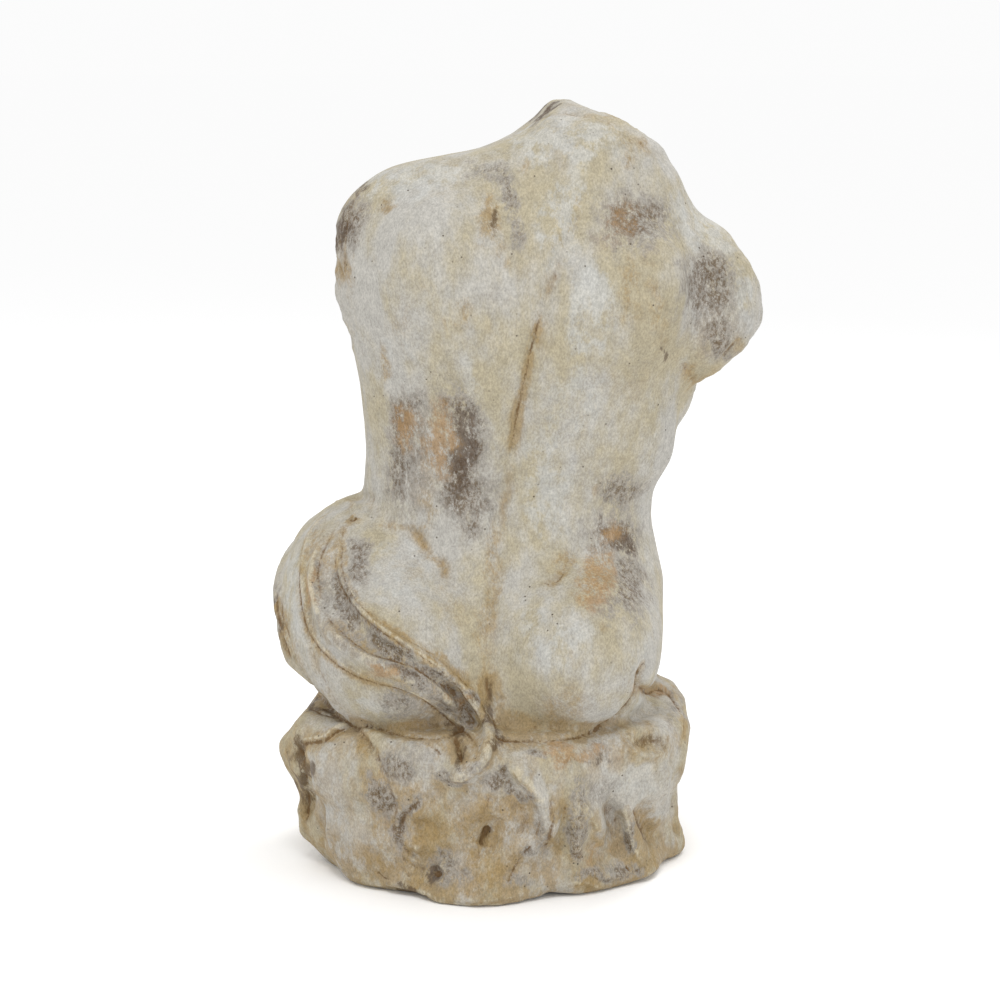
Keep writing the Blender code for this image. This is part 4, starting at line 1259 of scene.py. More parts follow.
    def nearest(
        self, points: np.ndarray, laid: LaidStroke
    ) -> tuple[np.ndarray, np.ndarray, np.ndarray, np.ndarray]:
        """Finds the vertices near a stroke's line.

        Args:
            points: The skin's vertices.
            laid: The stroke and its line.

        Returns:
            Their indices, distances in widths, shares of the way along, and the side each is on.
        """
        width = laid.stroke.width * MM
        reach = max(self.reach, self.ledge_reach) * width
        best = np.full(len(points), np.inf)
        place = np.zeros(len(points))
        side = np.ones(len(points))
        last = len(laid.line) - 1
        for begin in range(0, last, self.chunk):
            end = min(begin + self.chunk, last)
            part = laid.line[begin : end + 1]
            low, high = part.min(axis=0) - reach, part.max(axis=0) + reach
            near = np.flatnonzero(((points > low) & (points < high)).all(axis=1))
            if not len(near):
                continue
            start, along = part[:-1], np.diff(part, axis=0)
            length = np.maximum((along * along).sum(axis=1), self.least_square)
            offset = points[near][:, None] - start[None]
            share = np.clip((offset * along[None]).sum(axis=2) / length, 0.0, 1.0)
            away = offset - share[:, :, None] * along[None]
            distance = np.linalg.norm(away, axis=2)
            closest = distance.argmin(axis=1)
            rows = np.arange(len(near))
            left = np.cross(laid.facing[begin:end], along)[closest]
            better = distance[rows, closest] < best[near]
            chosen = near[better]
            best[chosen] = distance[rows, closest][better]
            place[chosen] = ((begin + closest + share[rows, closest]) / last)[better]
            turn = (away[rows, closest] * left).sum(axis=1)
            side[chosen] = np.where(turn[better] < 0, -1.0, 1.0)
        rows = np.flatnonzero(best < reach)
        return rows, best[rows] / width, place[rows], side[rows]


def curve(stations: np.ndarray, values: np.ndarray, places: np.ndarray) -> np.ndarray:
    """Reads a smooth curve that passes through values at stations.

    Args:
        stations: Where the values stand, rising.
        values: The values.
        places: Where to read the curve.

    Returns:
        One value for each place.
    """
    slopes = np.gradient(values, stations)
    index = np.clip(np.searchsorted(stations, places) - 1, 0, len(stations) - 2)
    gap = stations[index + 1] - stations[index]
    share = (places - stations[index]) / gap
    rise = values[index + 1] - values[index]
    start, finish = slopes[index] * gap, slopes[index + 1] * gap
    bend = 3 * rise - 2 * start - finish + share * (start + finish - 2 * rise)
    return values[index] + share * (start + share * bend)


@dataclass(frozen=True)
class Cloud:
    """Cloudy noise: a finer layer is half as large as the one before."""

    grain: float  # size of its largest lumps, in metres
    detail: float  # how many finer layers it has
    rough: float  # how strong the finer layers are
    stretch: Place | None = None  # factors along the axes
    shift: Place = (0.0, 0.0, 0.0)  # metres
    twist: float = 0.0


@dataclass(frozen=True)
class Coat:
    """A coat of colour on the stone, as strong as a mask says, with a rim that noise breaks up. Most coats
    are stains; one also holds painted shade and one a painted highlight.
    """

    mask: str
    colour: Colour
    bare: float  # broken-up mask below which the stone stays bare
    full: float  # broken-up mask above which it is fully covered
    cover: float  # how much of the stone a full cover hides


class Bench:
    """Puts one material's nodes together."""

    FLECKS = (0.36, 0.64, 0.3, 1.7)  # the noise's span, and what it makes of a mask at its ends
    WOBBLE_DETAIL = 5.0
    WOBBLE = 1.1  # how far a crack strays, in meshes of the net
    CRACK_CORE = 0.3  # share of a crack's width where it is full

    def __init__(self, name: str) -> None:
        """Starts a material.

        Args:
            name: What to call it.
        """
        self.material = bpy.data.materials.new(name)
        self.material.use_nodes = True
        self.nodes = self.material.node_tree.nodes
        self.links = self.material.node_tree.links
        self.shader = self.nodes["Principled BSDF"]
        self.place = self.nodes.new("ShaderNodeTexCoord").outputs["Object"]

    def join(self, source: bpy.types.NodeSocket | float | Colour, target: bpy.types.NodeSocket) -> None:
        """Links a socket to another, or sets a value on it.

        Args:
            source: A socket, a number or a colour.
            target: The input that takes it.
        """
        if isinstance(source, bpy.types.NodeSocket):
            self.links.new(source, target)
        else:
            target.default_value = source

    def cloud(self, cloud: Cloud) -> bpy.types.NodeSocket:
        """Gives cloudy noise.

        Args:
            cloud: The noise.

        Returns:
            The socket with values around a half.
        """
        node = self.nodes.new("ShaderNodeTexNoise")
        place = self.place
        if cloud.stretch is not None:
            moved = self.nodes.new("ShaderNodeMapping")
            self.links.new(self.place, moved.inputs["Vector"])
            moved.inputs["Scale"].default_value = cloud.stretch
            moved.inputs["Location"].default_value = cloud.shift
            place = moved.outputs["Vector"]
        self.links.new(place, node.inputs["Vector"])
        node.inputs["Scale"].default_value = 1.0 / cloud.grain
        node.inputs["Detail"].default_value = cloud.detail
        node.inputs["Roughness"].default_value = cloud.rough
        node.inputs["Distortion"].default_value = cloud.twist
        return node.outputs["Fac"]

    def mask(self, name: str) -> bpy.types.NodeSocket:
        """Reads one of the skin's attributes."""
        node = self.nodes.new("ShaderNodeAttribute")
        node.attribute_name = name
        return node.outputs["Fac"]

    def cracks(self, size: float, width: float) -> bpy.types.NodeSocket:
        """Draws a net of fine crooked lines.

        Args:
            size: The size of its meshes, in metres.
            width: The width of the lines, as a share of a mesh.

        Returns:
            The socket: one on a line.
        """
        crooked = self.nodes.new("ShaderNodeVectorMath")
        crooked.operation = "MULTIPLY_ADD"
        wobble = self.nodes.new("ShaderNodeTexNoise")
        wobble.inputs["Scale"].default_value = 1 / size
        wobble.inputs["Detail"].default_value = self.WOBBLE_DETAIL
        self.links.new(self.place, wobble.inputs["Vector"])
        self.links.new(wobble.outputs["Color"], crooked.inputs[0])
        crooked.inputs[1].default_value = (self.WOBBLE * size,) * 3
        self.links.new(self.place, crooked.inputs[2])
        net = self.nodes.new("ShaderNodeTexVoronoi")
        net.feature = "DISTANCE_TO_EDGE"
        net.inputs["Scale"].default_value = 1 / size
        self.links.new(crooked.outputs[0], net.inputs["Vector"])
        return self.span(net.outputs["Distance"], width, self.CRACK_CORE * width)

    def span(
        self, value: bpy.types.NodeSocket, low: float, high: float, bottom: float = 0.0, top: float = 1.0
    ) -> bpy.types.NodeSocket:
        """Turns the span from low to high into that from bottom to top, smoothly and with nothing beyond.

        Args:
            value: What to turn.
            low: The value that gives bottom.
            high: The value that gives top.
            bottom: The least that comes out.
            top: The most that comes out.

        Returns:
            The socket with the result.
        """
        node = self.nodes.new("ShaderNodeMapRange")
        node.interpolation_type = "SMOOTHSTEP"
        self.links.new(value, node.inputs["Value"])
        for name, number in (("From Min", low), ("From Max", high), ("To Min", bottom), ("To Max", top)):
            node.inputs[name].default_value = number
        return node.outputs["Result"]

    def ragged(
        self, mask: bpy.types.NodeSocket, cloud: bpy.types.NodeSocket, low: float, high: float
    ) -> bpy.types.NodeSocket:
        """Breaks a soft mask up into flecks with a ragged rim.

        Args:
            mask: The soft mask.
            cloud: The noise that breaks it up.
            low: What counts as bare.
            high: What counts as covered.

        Returns:
            The socket with the broken mask.
        """
        return self.span(self.sum("MULTIPLY", mask, self.span(cloud, *self.FLECKS)), low, high)

    def lay(
        self, under: bpy.types.NodeSocket, coat: Coat, cloud: bpy.types.NodeSocket
    ) -> bpy.types.NodeSocket:
        """Lays a coat on the stone.

        Args:
            under: The colour so far.
            coat: The coat.
            cloud: The noise that breaks its rim up.

        Returns:
            The socket with the colour.
        """
        cover = self.ragged(self.mask(coat.mask), cloud, coat.bare, coat.full)
        return self.mix(under, coat.colour, self.sum("MULTIPLY", cover, coat.cover))

    def sum(
        self, operation: str, first: bpy.types.NodeSocket | float, second: bpy.types.NodeSocket | float
    ) -> bpy.types.NodeSocket:
        """Does one sum, kept between nought and one.

        Args:
            operation: Blender's name for it.
            first: What stands before the sign.
            second: What stands after it.

        Returns:
            The socket with the result.
        """
        node = self.nodes.new("ShaderNodeMath")
        node.operation = operation
        node.use_clamp = True
        self.join(first, node.inputs[0])
        self.join(second, node.inputs[1])
        return node.outputs[0]

    def mix(
        self,
        under: bpy.types.NodeSocket | Colour,
        over: bpy.types.NodeSocket | Colour,
        share: bpy.types.NodeSocket | float,
        blend: str = "MIX",
    ) -> bpy.types.NodeSocket:
        """Lays one colour over another.

        Args:
            under: The colour below.
            over: The colour above.
            share: How much of it shows.
            blend: How they mix, by Blender's name.

        Returns:
            The socket with the colour.
        """
        node = self.nodes.new("ShaderNodeMix")
        node.data_type = "RGBA"
        node.blend_type = blend
        node.clamp_result = True
        self.join(share, node.inputs[0])
        self.join(under, node.inputs[6])
        self.join(over, node.inputs[7])
        return node.outputs[2]


@dataclass(frozen=True)
class AgedStone:
    """Pale cast stone with an ochre wash that also holds painted shade, worn grey patches, brown creases,
    worn ridges with a painted highlight, and fine specks.

    Spans are those of a noise or a mask, followed by what they give where that isn't nought to one.
    """

    chalk: Colour = paint(169, 166, 159)
    cream: Colour = paint(163, 154, 131)
    straw: Colour = paint(150, 135, 106)
    grey: Colour = paint(90, 74, 55)
    blue_grey: Colour = paint(146, 141, 133)
    pale: Colour = paint(177, 177, 173)
    speck: Colour = paint(64, 52, 40)

    # The bare stone
    wash: Cloud = Cloud(0.045, 7.0, 0.62, (1.0, 1.0, 0.5))
    wash_span: Span = (0.4, 0.62)
    patches: Cloud = Cloud(0.06, 8.0, 0.74, (1.0, 1.0, 0.45), (0.31, 0.12, 0.53))
    patch_span: Span = (0.55, 0.66, 0.0, 0.3)

    # What breaks the stains up
    streaks: Cloud = Cloud(0.006, 7.0, 0.78, (1.0, 1.0, 0.35), (0.7, 0.2, 0.1), 0.6)
    mottle: Cloud = Cloud(0.014, 7.0, 0.7, (1.0, 1.0, 0.6), (0.1, 0.9, 0.4))
    flecks: Cloud = Cloud(0.0055, 7.0, 0.86, (1.0, 1.0, 0.5), (0.4, 0.3, 0.8))
    fine: Cloud = Cloud(0.003, 6.0, 0.8, (1.0, 1.0, 0.7), (0.2, 0.6, 0.9))

    # The stains, from the lowest up; the lowest also holds painted shade, and the ridge coat a painted
    # highlight
    # Ochre wash in sheltered hollows and beside lines, with painted shade towards the foot and on undersides
    wash_and_painted_shade_coat: Coat = Coat("wash_and_painted_shade", paint(143, 120, 78), 0.05, 1.1, 0.72)
    ochre_coat: Coat = Coat(Stain.OCHRE.value, paint(143, 120, 78), 0.05, 1.25, 0.8)
    pale_coat: Coat = Coat(Stain.PALE.value, paint(177, 177, 173), 0.2, 0.9, 0.66)
    umber_coat: Coat = Coat(Stain.UMBER.value, paint(74, 56, 39), 0.12, 0.7, 0.72)
    copper_coat: Coat = Coat(Stain.COPPER.value, paint(154, 125, 87), 0.15, 1.0, 0.75)
    # Lighter cream on ridges: wear, with a painted highlight
    ridge_wear_and_highlight_coat: Coat = Coat("ridge", paint(184, 175, 153), 0.25, 0.8, 0.7)
    crease_coat: Coat = Coat("crevice", paint(96, 70, 36), 0.1, 0.95, 0.86)

    # The grey, worn patches and their cracks
    brushed_span: Span = (0.12, 0.66)
    brushed_cover: float = 0.88
    depth_span: Span = (0.4, 0.57, 0.2, 1.0)
    darkness_span: Span = (0.2, 0.9)
    crack_mesh: float = 9.5 * MM
    crack_width: float = 0.07
    crack_break_span: Span = (0.46, 0.58)
    crack_cover_span: Span = (0.15, 0.6, 0.0, 0.3)

    # Grain and specks
    grain: Cloud = Cloud(0.0013, 4.0, 0.75, (1.0, 1.0, 0.6))
    grain_span: Span = (0.3, 0.7, 0.26, 0.74)
    grain_share: float = 0.44
    cloudy: Cloud = Cloud(0.009, 6.0, 0.7, (1.0, 1.0, 1.0), (0.5, 0.5, 0.2))
    cloudy_span: Span = (0.35, 0.65, 0.42, 0.58)
    cloudy_share: float = 0.5
    specks_per_metre: float = 330.0
    speck_span: Span = (0.28, 0.16)
    speck_choice: Span = (0.93, 0.95)
    crowd: Cloud = Cloud(0.03, 4.0, 0.6, (1.0, 1.0, 1.0), (0.9, 0.1, 0.3))
    crowd_span: Span = (0.46, 0.6, 0.1, 0.9)

    # Surface
    gloss: float = 0.3
    dullness: Cloud = Cloud(0.004, 2.0, 0.6)
    dullness_span: Span = (0.3, 0.7, 0.62, 0.86)
    pores: Cloud = Cloud(0.003, 4.0, 0.75)
    pore_share: float = 0.6
    scratches: Cloud = Cloud(0.004, 4.0, 0.8, (1.0, 1.0, 0.3), (0.2, 0.4, 0.8))
    scratched_share: float = 0.8
    scratch_share: float = 0.4
    relief: float = 0.8
    relief_depth: float = 0.7 * MM

    def make(self) -> bpy.types.Material:
        """Builds the material.

        Returns:
            The material.
        """
        bench = Bench("aged_cast_stone")
        colour = self._stone(bench)
        colour, brushed = self._stains(bench, colour)
        colour = self._specks(bench, colour)
        self._surface(bench, colour, brushed)
        return bench.material

    def _stone(self, bench: Bench) -> bpy.types.NodeSocket:
        """Mixes the bare stone, from chalky to cream.

        Args:
            bench: The material's bench.

        Returns:
            The socket with its colour.
        """
        colour = bench.mix(self.chalk, self.cream, bench.span(bench.cloud(self.wash), *self.wash_span))
        return bench.mix(colour, self.straw, bench.span(bench.cloud(self.patches), *self.patch_span))

    def _stains(
        self, bench: Bench, colour: bpy.types.NodeSocket
    ) -> tuple[bpy.types.NodeSocket, bpy.types.NodeSocket]:
        """Lays the stains, with their painted shade and painted highlight, on the stone.

        Args:
            bench: The material's bench.
            colour: The bare stone.

        Returns:
            The colour, and where the stone is brushed bare and grey.
        """
        streaks, mottle, flecks = (bench.cloud(noise) for noise in (self.streaks, self.mottle, self.flecks))
        for coat, noise in ((self.wash_and_painted_shade_coat, mottle), (self.ochre_coat, flecks), (self.pale_coat, mottle)):
            colour = bench.lay(colour, coat, noise)
        worn = bench.mask(Stain.GREY.value)
        brushed = bench.ragged(worn, flecks, *self.brushed_span)
        colour = self._greys(bench, colour, worn, brushed)
        for coat, noise in (
            (self.umber_coat, flecks),
            (self.copper_coat, flecks),
            (self.ridge_wear_and_highlight_coat, streaks),
            (self.crease_coat, streaks),
        ):
            colour = bench.lay(colour, coat, noise)
        return colour, bench.span(worn, *self.brushed_span)

    def _greys(
        self,
        bench: Bench,
        colour: bpy.types.NodeSocket,
        worn: bpy.types.NodeSocket,
        brushed: bpy.types.NodeSocket,
    ) -> bpy.types.NodeSocket:
        """Lays the worn grey patches, darker inside, and their fine pale cracks.

        Args:
            bench: The material's bench.
            colour: The colour so far.
            worn: The patches' soft mask.
            brushed: The same, broken up.

        Returns:
            The socket with the colour.
        """
        fine = bench.cloud(self.fine)
        depth = bench.sum("MULTIPLY", worn, bench.span(fine, *self.depth_span))
        greys = bench.mix(self.blue_grey, self.grey, bench.span(depth, *self.darkness_span))
        colour = bench.mix(colour, greys, bench.sum("MULTIPLY", brushed, self.brushed_cover))
        net = bench.cracks(self.crack_mesh, self.crack_width)
        broken_up = bench.sum("MULTIPLY", net, bench.span(fine, *self.crack_break_span))
        cracked = bench.sum("MULTIPLY", broken_up, bench.span(worn, *self.crack_cover_span))
        return bench.mix(colour, self.pale, cracked)

    def _specks(self, bench: Bench, colour: bpy.types.NodeSocket) -> bpy.types.NodeSocket:
        """Adds the fine grain and scattered dark specks.

        Args:
            bench: The material's bench.
            colour: The colour so far.

        Returns:
            The socket with the colour.
        """
        grain = bench.span(bench.cloud(self.grain), *self.grain_span)
        colour = bench.mix(colour, grain, self.grain_share, "OVERLAY")
        cloudy = bench.span(bench.cloud(self.cloudy), *self.cloudy_span)
        colour = bench.mix(colour, cloudy, self.cloudy_share, "OVERLAY")
        cells = bench.nodes.new("ShaderNodeTexVoronoi")
        bench.links.new(bench.place, cells.inputs["Vector"])
        cells.inputs["Scale"].default_value = self.specks_per_metre
        dots = bench.span(cells.outputs["Distance"], *self.speck_span)
        parts = bench.nodes.new("ShaderNodeSeparateColor")
        bench.links.new(cells.outputs["Color"], parts.inputs[0])
        chosen = bench.span(parts.outputs[0], *self.speck_choice)
        crowd = bench.span(bench.cloud(self.crowd), *self.crowd_span)
        share = bench.sum("MULTIPLY", bench.sum("MULTIPLY", dots, chosen), crowd)
        return bench.mix(colour, self.speck, share)

    def _surface(
        self, bench: Bench, colour: bpy.types.NodeSocket, brushed: bpy.types.NodeSocket
    ) -> None:
        """Sets the shader's colour, roughness and fine relief.

        Args:
            bench: The material's bench.
            colour: The finished colour.
            brushed: Where the stone is brushed bare.
        """
        shader = bench.shader
        bench.links.new(colour, shader.inputs["Base Color"])
        shader.inputs["Specular IOR Level"].default_value = self.gloss
        dull = bench.span(bench.cloud(self.dullness), *self.dullness_span)
        bench.links.new(dull, shader.inputs["Roughness"])
        scratched = bench.sum(
            "MULTIPLY", bench.cloud(self.scratches), bench.sum("MULTIPLY", brushed, self.scratched_share)
        )
        height = bench.sum(
            "ADD",
            bench.sum("MULTIPLY", bench.cloud(self.pores), self.pore_share),
            bench.sum("MULTIPLY", scratched, self.scratch_share),
        )
        bump = bench.nodes.new("ShaderNodeBump")
        bump.inputs["Strength"].default_value = self.relief
        bump.inputs["Distance"].default_value = self.relief_depth
        bench.links.new(height, bump.inputs["Height"])
        bench.links.new(bump.outputs["Normal"], shader.inputs["Normal"])


@dataclass(frozen=True)
class Lumps:
    """Lumps that noise raises on the skin."""

    grain: float  # size of the largest, in metres
    octaves: int
    seed: float
    height: float  # metres

    def lift(self, points: np.ndarray) -> np.ndarray:
        """Tells how far they lift each point, in metres."""
        return self.height * fractal(points, self.grain, self.octaves, self.seed)


@dataclass(frozen=True)
class Rise:
    """Turns a measure of the skin into a share that rises smoothly to its strength."""

    strength: float
    low: float
    high: float

    def share(self, values: np.ndarray) -> np.ndarray:
        """Gives the share of each value."""
        return self.strength * smooth_step(values, self.low, self.high)


@dataclass(frozen=True)
class WeatheringAndPaintedLight:
    """How strongly each measure of the skin draws dirt, wear and wash, and where painted shade and painted
    highlights lie. Hollows are in millimetres.
    """

    line_dirt: float = 0.9
    small_hollow_dirt: Rise = Rise(0.35, 0.15, 0.8)
    fine_hollow_dirt: Rise = Rise(0.5, 0.06, 0.4)
    # Lighter ridges: wear, with a painted highlight on convex edges
    line_wear_and_highlight: float = 0.7
    small_ridge_wear_and_highlight: Rise = Rise(0.5, -0.15, -0.7)
    fine_ridge_wear_and_highlight: Rise = Rise(0.3, -0.06, -0.3)
    shelter_wash: Rise = Rise(0.62, 0.85, 0.35)
    wide_hollow_wash: Rise = Rise(0.45, 0.2, 1.8)
    # Painted shade: the stone grows darker towards the foot
    foot_darkening: Rise = Rise(0.32, 45 * MM, 5 * MM)
    rock_wash: float = 0.42
    break_wash: float = 0.2
    # Painted shade: surfaces that face down are darker
    underside_painted_shade: Rise = Rise(0.28, 0.0, -0.8)


@dataclass
class CastTorso:
    """The sculpture: one cast of her torso, the cloth and the rock."""

    node: bpy.types.Object
    view: PhotoView
    finish: AgedStone
    weathering_and_painted_light: WeatheringAndPaintedLight = WeatheringAndPaintedLight()

    # The meshes
    voxel: float = 2.0 * MM
    fine_voxel: float = 1.2 * MM
    weld: float = 0.002 * MM
    even_rounds: int = 6
    base_triangles: int = 46_000
    plain_edge: float = 4.6 * MM
    rock_edge: float = 2.4 * MM
    break_edge: float = 1.6 * MM
    sole_edge: float = 18.4 * MM
    sole_height: float = 0.6 * MM
    sole_normal: float = -0.7  # the sole's normals point lower than this
    rock_counts: float = 0.3
    break_counts: float = 0.2
    least_edge: float = 0.2 * MM
    splits: int = 5
    too_long: float = 1.35  # times the wanted length
    most_triangles: int = 196_000
    kept_mark: float = 0.25  # from which a mark keeps the mesh fine

    # The regions, in millimetres
    rock_top: float = 168.0  # above which nothing is rock
    rock_top_fade: float = 12.0
    rock_gap: tuple[float, float] = (2.0, 7.0)  # how far outside her form rock begins, and is plain rock
    foot_fade: tuple[float, float] = (0.5, 5.0)

    # The roughness
    skin_grain: Lumps = Lumps(0.018, 3, 4.0, 0.22 * MM)
    rock_lumps: tuple[Lumps, ...] = (Lumps(0.026, 3, 1.0, 1.7 * MM), Lumps(0.009, 4, 7.0, 0.6 * MM))
    break_lumps: tuple[Lumps, ...] = (Lumps(0.013, 4, 9.0, 3.0 * MM), Lumps(0.03, 2, 14.0, 3.6 * MM))
    break_depth: float = 2.2 * MM
    least_share: float = 0.01

    # The hollows
    near_rounds: int = 5
    wide_rounds: int = 40
    fine_rounds: int = 2
    open_every: int = 10  # one vertex in so many is measured
    open_rays: int = 24
    open_reach: float = 0.12  # metres
    open_start: float = 0.6 * MM
    open_lean: float = 1.02  # of the normal against a random heading
    open_rounds: int = 24

    # The dabs
    wander: float = 11.0  # pixels by which their rims wander
    wander_lumps: tuple[Lumps, ...] = (Lumps(0.016, 3, 21.0, 1.0), Lumps(0.016, 3, 33.0, 1.0))
    turned: tuple[float, float] = (-0.12, 0.08)  # cosines to the camera at which the skin starts to show
    oval_fall: float = 0.75
    oval_power: float = 1.4
    hidden_from: float = 0.95
    hidden_fall: float = 1.2
    hidden_power: float = 2.4
    hidden_stretch: tuple[float, float] = (0.45, 0.9)
    hidden_size: tuple[float, float] = (0.5, 1.4)
    seed: int = 11
    masks: dict[str, np.ndarray] = field(default_factory=dict)

    def build(self) -> bpy.types.Object:
        """Carves, stains and finishes the sculpture.

        Returns:
            The finished piece.
        """
        even = Skin(self.even_mesh())
        even.relax(self.even_rounds)
        LOG.info("even mesh: %d vertices", len(even.points))
        hollows = self.hollows(even)
        LOG.info("hollows measured")
        chisel = Chisel(self.view)
        tree = even.tree()
        for group in (BODY_STROKES, CLOTH_STROKES, ROCK_STROKES, HIDDEN_STROKES):
            chisel.lay(list(group.values()), tree)
        LOG.info("%d strokes laid", len(chisel.laid))
        carved = Skin(self.fitted_mesh(even, chisel))
        LOG.info("fitted mesh: %d vertices", len(carved.points))
        carved.lift(chisel.cut(carved.points) * self.footing(carved.points))
        LOG.info("carved")
        self.roughen(carved)
        LOG.info("roughened")
        skin = Skin(self.closed_mesh(carved, chisel.marks))
        self.keep_inside(skin)
        LOG.info("closed mesh: %d vertices", len(skin.points))
        nearest = carved.nearest(skin.points)
        marks = {mark: shares[nearest] for mark, shares in chisel.marks.items()}
        self.masks = {name: shares[nearest] for name, shares in self.masks.items()}
        self.stain(skin, even, hollows, marks)
        LOG.info("stained")
        piece = self.finished(skin)
        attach(piece, "root")
        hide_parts("seated_torso")
        return piece

    def applied(self, holder: bpy.types.Object) -> bpy.types.Mesh:
        """Gives the mesh that an object's modifiers make, and drops the object.

        Args:
            holder: The object.

        Returns:
            The mesh.
        """
        bpy.context.scene.collection.objects.link(holder)
        graph = bpy.context.evaluated_depsgraph_get()
        made = bpy.data.meshes.new_from_object(
            holder.evaluated_get(graph), preserve_all_data_layers=True, depsgraph=graph
        )
        bpy.data.objects.remove(holder)
        return made

    def even_mesh(self) -> bpy.types.Mesh:
        """Makes a rounder mesh of even squares from the CAD solid.

        Returns:
            The mesh.
        """
        holder = bpy.data.objects.new("holder", self.node.data.copy())
        weld = holder.modifiers.new("Weld", "WELD")
        weld.merge_threshold = self.weld
        rounder = holder.modifiers.new("Subdivision", "SUBSURF")
        rounder.levels = rounder.render_levels = 2
        even = holder.modifiers.new("Remesh", "REMESH")
        even.mode = "VOXEL"
        even.voxel_size = self.voxel
        return self.applied(holder)

    def fitted_mesh(self, even: Skin, chisel: Chisel) -> bpy.types.Mesh:
        """Makes a mesh that is coarse where the skin is plain and fine along the strokes.

        Args:
            even: The even skin.
            chisel: The laid strokes.

        Returns:
            The mesh.
        """
        holder = bpy.data.objects.new("holder", even.mesh.copy())
        fewer = holder.modifiers.new("Decimate", "DECIMATE")
        fewer.ratio = self.base_triangles / sum(len(face.vertices) - 2 for face in even.mesh.polygons)
        mesh = self.applied(holder)
        bm = bmesh.new()
        bm.from_mesh(mesh)
        bmesh.ops.triangulate(bm, faces=bm.faces)
        for _ in range(self.splits):
            ends = np.array([(*edge.verts[0].co, *edge.verts[1].co) for edge in bm.edges])
            middles = (ends[:, :3] + ends[:, 3:]) / 2
            lengths = np.linalg.norm(ends[:, :3] - ends[:, 3:], axis=1)
            bm.normal_update()
            normals = np.array([tuple(edge.verts[0].normal) for edge in bm.edges])
            plain = self.plain_fineness(middles, normals)
            long = np.flatnonzero(lengths > self.too_long * chisel.fineness(middles, plain))
            if not len(long):
                break
            bm.edges.ensure_lookup_table()
            bmesh.ops.subdivide_edges(bm, edges=[bm.edges[row] for row in long], cuts=1)
            bmesh.ops.triangulate(bm, faces=[face for face in bm.faces if len(face.verts) > 3])
        bmesh.ops.remove_doubles(bm, verts=bm.verts, dist=self.least_edge)
        bm.to_mesh(mesh)
        bm.free()
        return mesh

    def closed_mesh(self, carved: Skin, marks: dict[Mark, np.ndarray]) -> bpy.types.Mesh:
        """Makes one clean closed mesh of the carved one, without folds or slivers.

        Args:
            carved: The carved skin.
            marks: What the strokes left, where the mesh stays fine.

        Returns:
            The mesh, light enough for its purpose.
        """
        holder = bpy.data.objects.new("holder", carved.mesh.copy())
        clean = holder.modifiers.new("Remesh", "REMESH")
        clean.mode = "VOXEL"
        clean.voxel_size = self.fine_voxel
        skin = Skin(self.applied(holder))
        skin.relax(1)
        marked = np.maximum(marks[Mark.CORE], marks[Mark.WORN_AND_HIGHLIT])[carved.nearest(skin.points)] > self.kept_mark
        holder = bpy.data.objects.new("holder", skin.mesh)
        loose = holder.vertex_groups.new(name="loose")
        loose.add(np.flatnonzero(~marked).tolist(), 1.0, "REPLACE")
        fewer = holder.modifiers.new("Decimate", "DECIMATE")
        fewer.ratio = self.most_triangles / (2 * len(skin.mesh.polygons))
        fewer.vertex_group = loose.name
        mesh = self.applied(holder)
        bm = bmesh.new()
        bm.from_mesh(mesh)
        bmesh.ops.triangulate(bm, faces=bm.faces)
        bm.to_mesh(mesh)
        bm.free()
        return mesh

    def keep_inside(self, skin: Skin) -> None:
        """Keeps a skin inside the CAD solid's box.

        Args:
            skin: The skin.
        """
        skin.points = np.clip(skin.points, np.array(CAD_BOX[0]), np.array(CAD_BOX[1]))
        skin.place()

    def plain_fineness(self, places: np.ndarray, normals: np.ndarray) -> np.ndarray:
        """Says how long edges may be for the roughness of each region.

        Args:
            places: Where to say it.
            normals: Which way the skin faces there.

        Returns:
            Lengths in metres.
        """
        sole = (places[:, 2] < self.sole_height) & (normals[:, 2] < self.sole_normal)
        rock = self.rock_share(places) > self.rock_counts
        broken = self.broken_share(places, normals) > self.break_counts
        lengths = np.full(len(places), self.plain_edge)
        lengths[rock] = self.rock_edge
        lengths[broken] = self.break_edge
        lengths[sole] = self.sole_edge
        return lengths

    def footing(self, points: np.ndarray) -> np.ndarray:
        """Keeps the sole flat: nought on the floor, one above it."""
        return smooth_step(points[:, 2] / MM, *self.foot_fade)

    def rock_share(self, points: np.ndarray) -> np.ndarray:
        """Tells rock from figure.

        Args:
            points: Places in metres.

        Returns:
            One on the rock, nought on her and the cloth.
        """
        places = points / MM
        outside = np.min([form.distance(places) for form in SEATED_FORMS], axis=0)
        low = smooth_step(places[:, 2], self.rock_top, self.rock_top - self.rock_top_fade)
        return smooth_step(outside, *self.rock_gap) * low

    def broken_share(self, points: np.ndarray, normals: np.ndarray) -> np.ndarray:
        """Tells the broken faces from the rest.

        Args:
            points: Places in metres.
            normals: Which way the skin faces there.

        Returns:
            One on a broken face, nought elsewhere.
        """
        return np.max([face.share(points / MM, normals) for face in BREAKS], axis=0)

    def roughen(self, skin: Skin) -> None:
        """Gives the rock, the breaks and the skin their own roughness.

        Args:
            skin: The skin to roughen.
        """
        rock = self.rock_share(skin.points)
        broken = self.broken_share(skin.points, skin.normals)
        lift = self.skin_grain.lift(skin.points)
        rough = ((rock, self.rock_lumps, 0.0), (broken, self.break_lumps, self.break_depth))
        for share, layers, depth in rough:
            rows = np.flatnonzero(share > self.least_share)
            lift[rows] += share[rows] * (sum(layer.lift(skin.points[rows]) for layer in layers) - depth)
        skin.lift(lift * self.footing(skin.points))
        self.keep_inside(skin)
        self.masks["rock"] = rock
        self.masks["broken"] = broken

    def hollows(self, even: Skin) -> dict[str, np.ndarray]:
        """Measures how hollow and how open the skin is.

        Args:
            even: The even skin.

        Returns:
            The depth of hollows in millimetres, small and large, and the openness.
        """
        near = even.average(even.points, self.near_rounds)
        wide = even.average(near, self.wide_rounds)
        return {
            "small": ((near - even.points) * even.normals).sum(axis=1) / MM,
            "large": ((wide - even.points) * even.normals).sum(axis=1) / MM,
            "open": self.openness(even),
        }

